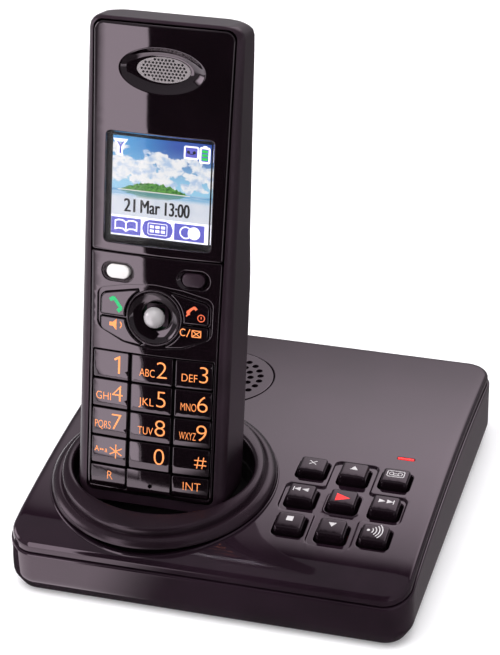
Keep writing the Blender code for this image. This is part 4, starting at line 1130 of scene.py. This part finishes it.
def build_studio():
    """Pale floor, soft lights, sheets that paint shade and highlights into the reflections, and the camera.
    """
    ground = bpy.data.meshes.new("floor")
    ground.from_pydata([(-4.0, -4.0, 0), (4.0, -4.0, 0), (4.0, 4.0, 0), (-4.0, 4.0, 0)], [], [(0, 1, 2, 3)])
    table = bpy.data.objects.new("floor", ground)
    bpy.context.scene.collection.objects.link(table)
    pale = moulded("floor_paper", (0.86, 0.86, 0.87), 0.9, 60.0, 0.01, 0.01)
    pale.set(pale.shader, {"Emission Color": (0.9, 0.9, 0.91), "Emission Strength": 0.25})
    ground.materials.append(pale.material)

    light("light_face", [(-0.0900, -0.2350, 0.001), (-0.1450, -0.2175, 0.001), (-0.1520, -0.1800, 0.190),
                         (-0.0970, -0.1985, 0.190)], 2.9, (0.05, 0.22, 0.03, 0.03))
    light("light_back", facing((0.15, 1.0, 0.9), (0.0, 0.0, 0.03), 2.1, 1.25), 2.3, (0.42, 0.3, 0.52, 0.45),
          share=0.33)
    light("light_top", facing((-0.1, -0.45, 1.5), (0.0, 0.0, 0.0), 2.0, 1.5), 5.5, (0.2, 0.2, 0.2, 0.2),
          (1.0, 1.0, 1.0), mirrored=False)
    light("light_right", facing((1.2, -0.1, 0.55), (0.0, 0.0, 0.08), 0.7, 0.9), 1.6, (0.3, 0.3, 0.3, 0.3),
          mirrored=False)
    light("light_left", facing((-1.1, -0.15, 0.42), (0.0, 0.0, 0.08), 0.9, 0.8), 3.2, (0.3, 0.3, 0.3, 0.3))
    # Sheets that only reflections see: painted shade in what the face, the base's front and underside, the
    # right side and the back mirror, and a painted highlight glowing on the left of the sheet before the
    # base's front.
    painted_reflection("painted_shade_face", [(-0.0895, -0.2355, 0.001), (0.12, -0.26, 0.001), (0.12, -0.225, 0.30),
                       (-0.0985, -0.1700, 0.30)], 0.02)
    painted_reflection("painted_highlight_and_shade_front", laid(-0.12, 0.068, -0.40, -0.0665, 0.0006), 0.12, 1.9, (0.40, 0.56))
    painted_reflection("painted_shade_under", laid(-0.10, 0.068, -0.0665, -0.050, 0.0007), 0.06, 0.06)
    painted_reflection("painted_shade_right", laid(0.050, 0.9, -0.40, 1.3, 0.0005), 0.15)
    painted_reflection("painted_shade_rear", laid(-0.058, 0.052, 0.050, 1.3, 0.0004), 0.15, 0.15)

    world = bpy.data.worlds.new("studio")
    world.use_nodes = True
    world.node_tree.nodes["Background"].inputs["Color"].default_value = (0.92, 0.92, 0.95, 1.0)
    world.node_tree.nodes["Background"].inputs["Strength"].default_value = 0.28
    bpy.context.scene.world = world
    bpy.context.scene.view_settings.view_transform = "Standard"

    azimuth, elevation, distance, turn = radians(16.76), radians(29.87), 0.73362, radians(-1.25)
    aim = Vector((-0.00271, 0.0, 0.06713))
    back = Vector((sin(azimuth) * cos(elevation), -cos(azimuth) * cos(elevation), sin(elevation)))
    right = Vector((cos(azimuth), sin(azimuth), 0.0))
    up = back.cross(right)
    across, upward = right * cos(turn) + up * sin(turn), up * cos(turn) - right * sin(turn)
    lens = bpy.data.cameras.new("camera")
    lens.lens, lens.sensor_width, lens.clip_start, lens.clip_end = 127.36, 36.0, 0.01, 20.0
    camera = bpy.data.objects.new("camera", lens)
    bpy.context.scene.collection.objects.link(camera)
    place = Matrix((across, upward, back)).transposed().to_4x4()
    place.translation = aim + back * distance
    camera.matrix_world = place
    bpy.context.scene.camera = camera


# Pieces that keep their own form

KEPT = (
    (MATT, ("cradle_pocket", "display_panel", "line_socket", "power_socket")),
    (BOARD, ("handset_board", "base_board")),
    (RUBBER, ("keypad_mat", "foot_front", "foot_rear")),
    (STEEL, ("microphone", "handset_contact_left", "handset_contact_right", "charge_contact_left",
             "charge_contact_right")),
    (CELL, ("battery_left", "battery_right")),
    (CONE, ("base_speaker", "earpiece_speaker")),
    (LED, ("message_light",)),
    (SATIN, ("joystick_gimbal", "joystick_stem")))

build_cover()
build_bottom()
build_cradle()
build_grille()
build_base_keys()
build_shell()
build_plates()
build_earpiece()
build_joystick()
build_number_keys()
build_cluster()
build_display()
for look, names in KEPT:
    for name in names:
        NODES[name].data.materials.clear()
        NODES[name].data.materials.append(look.material)
build_studio()
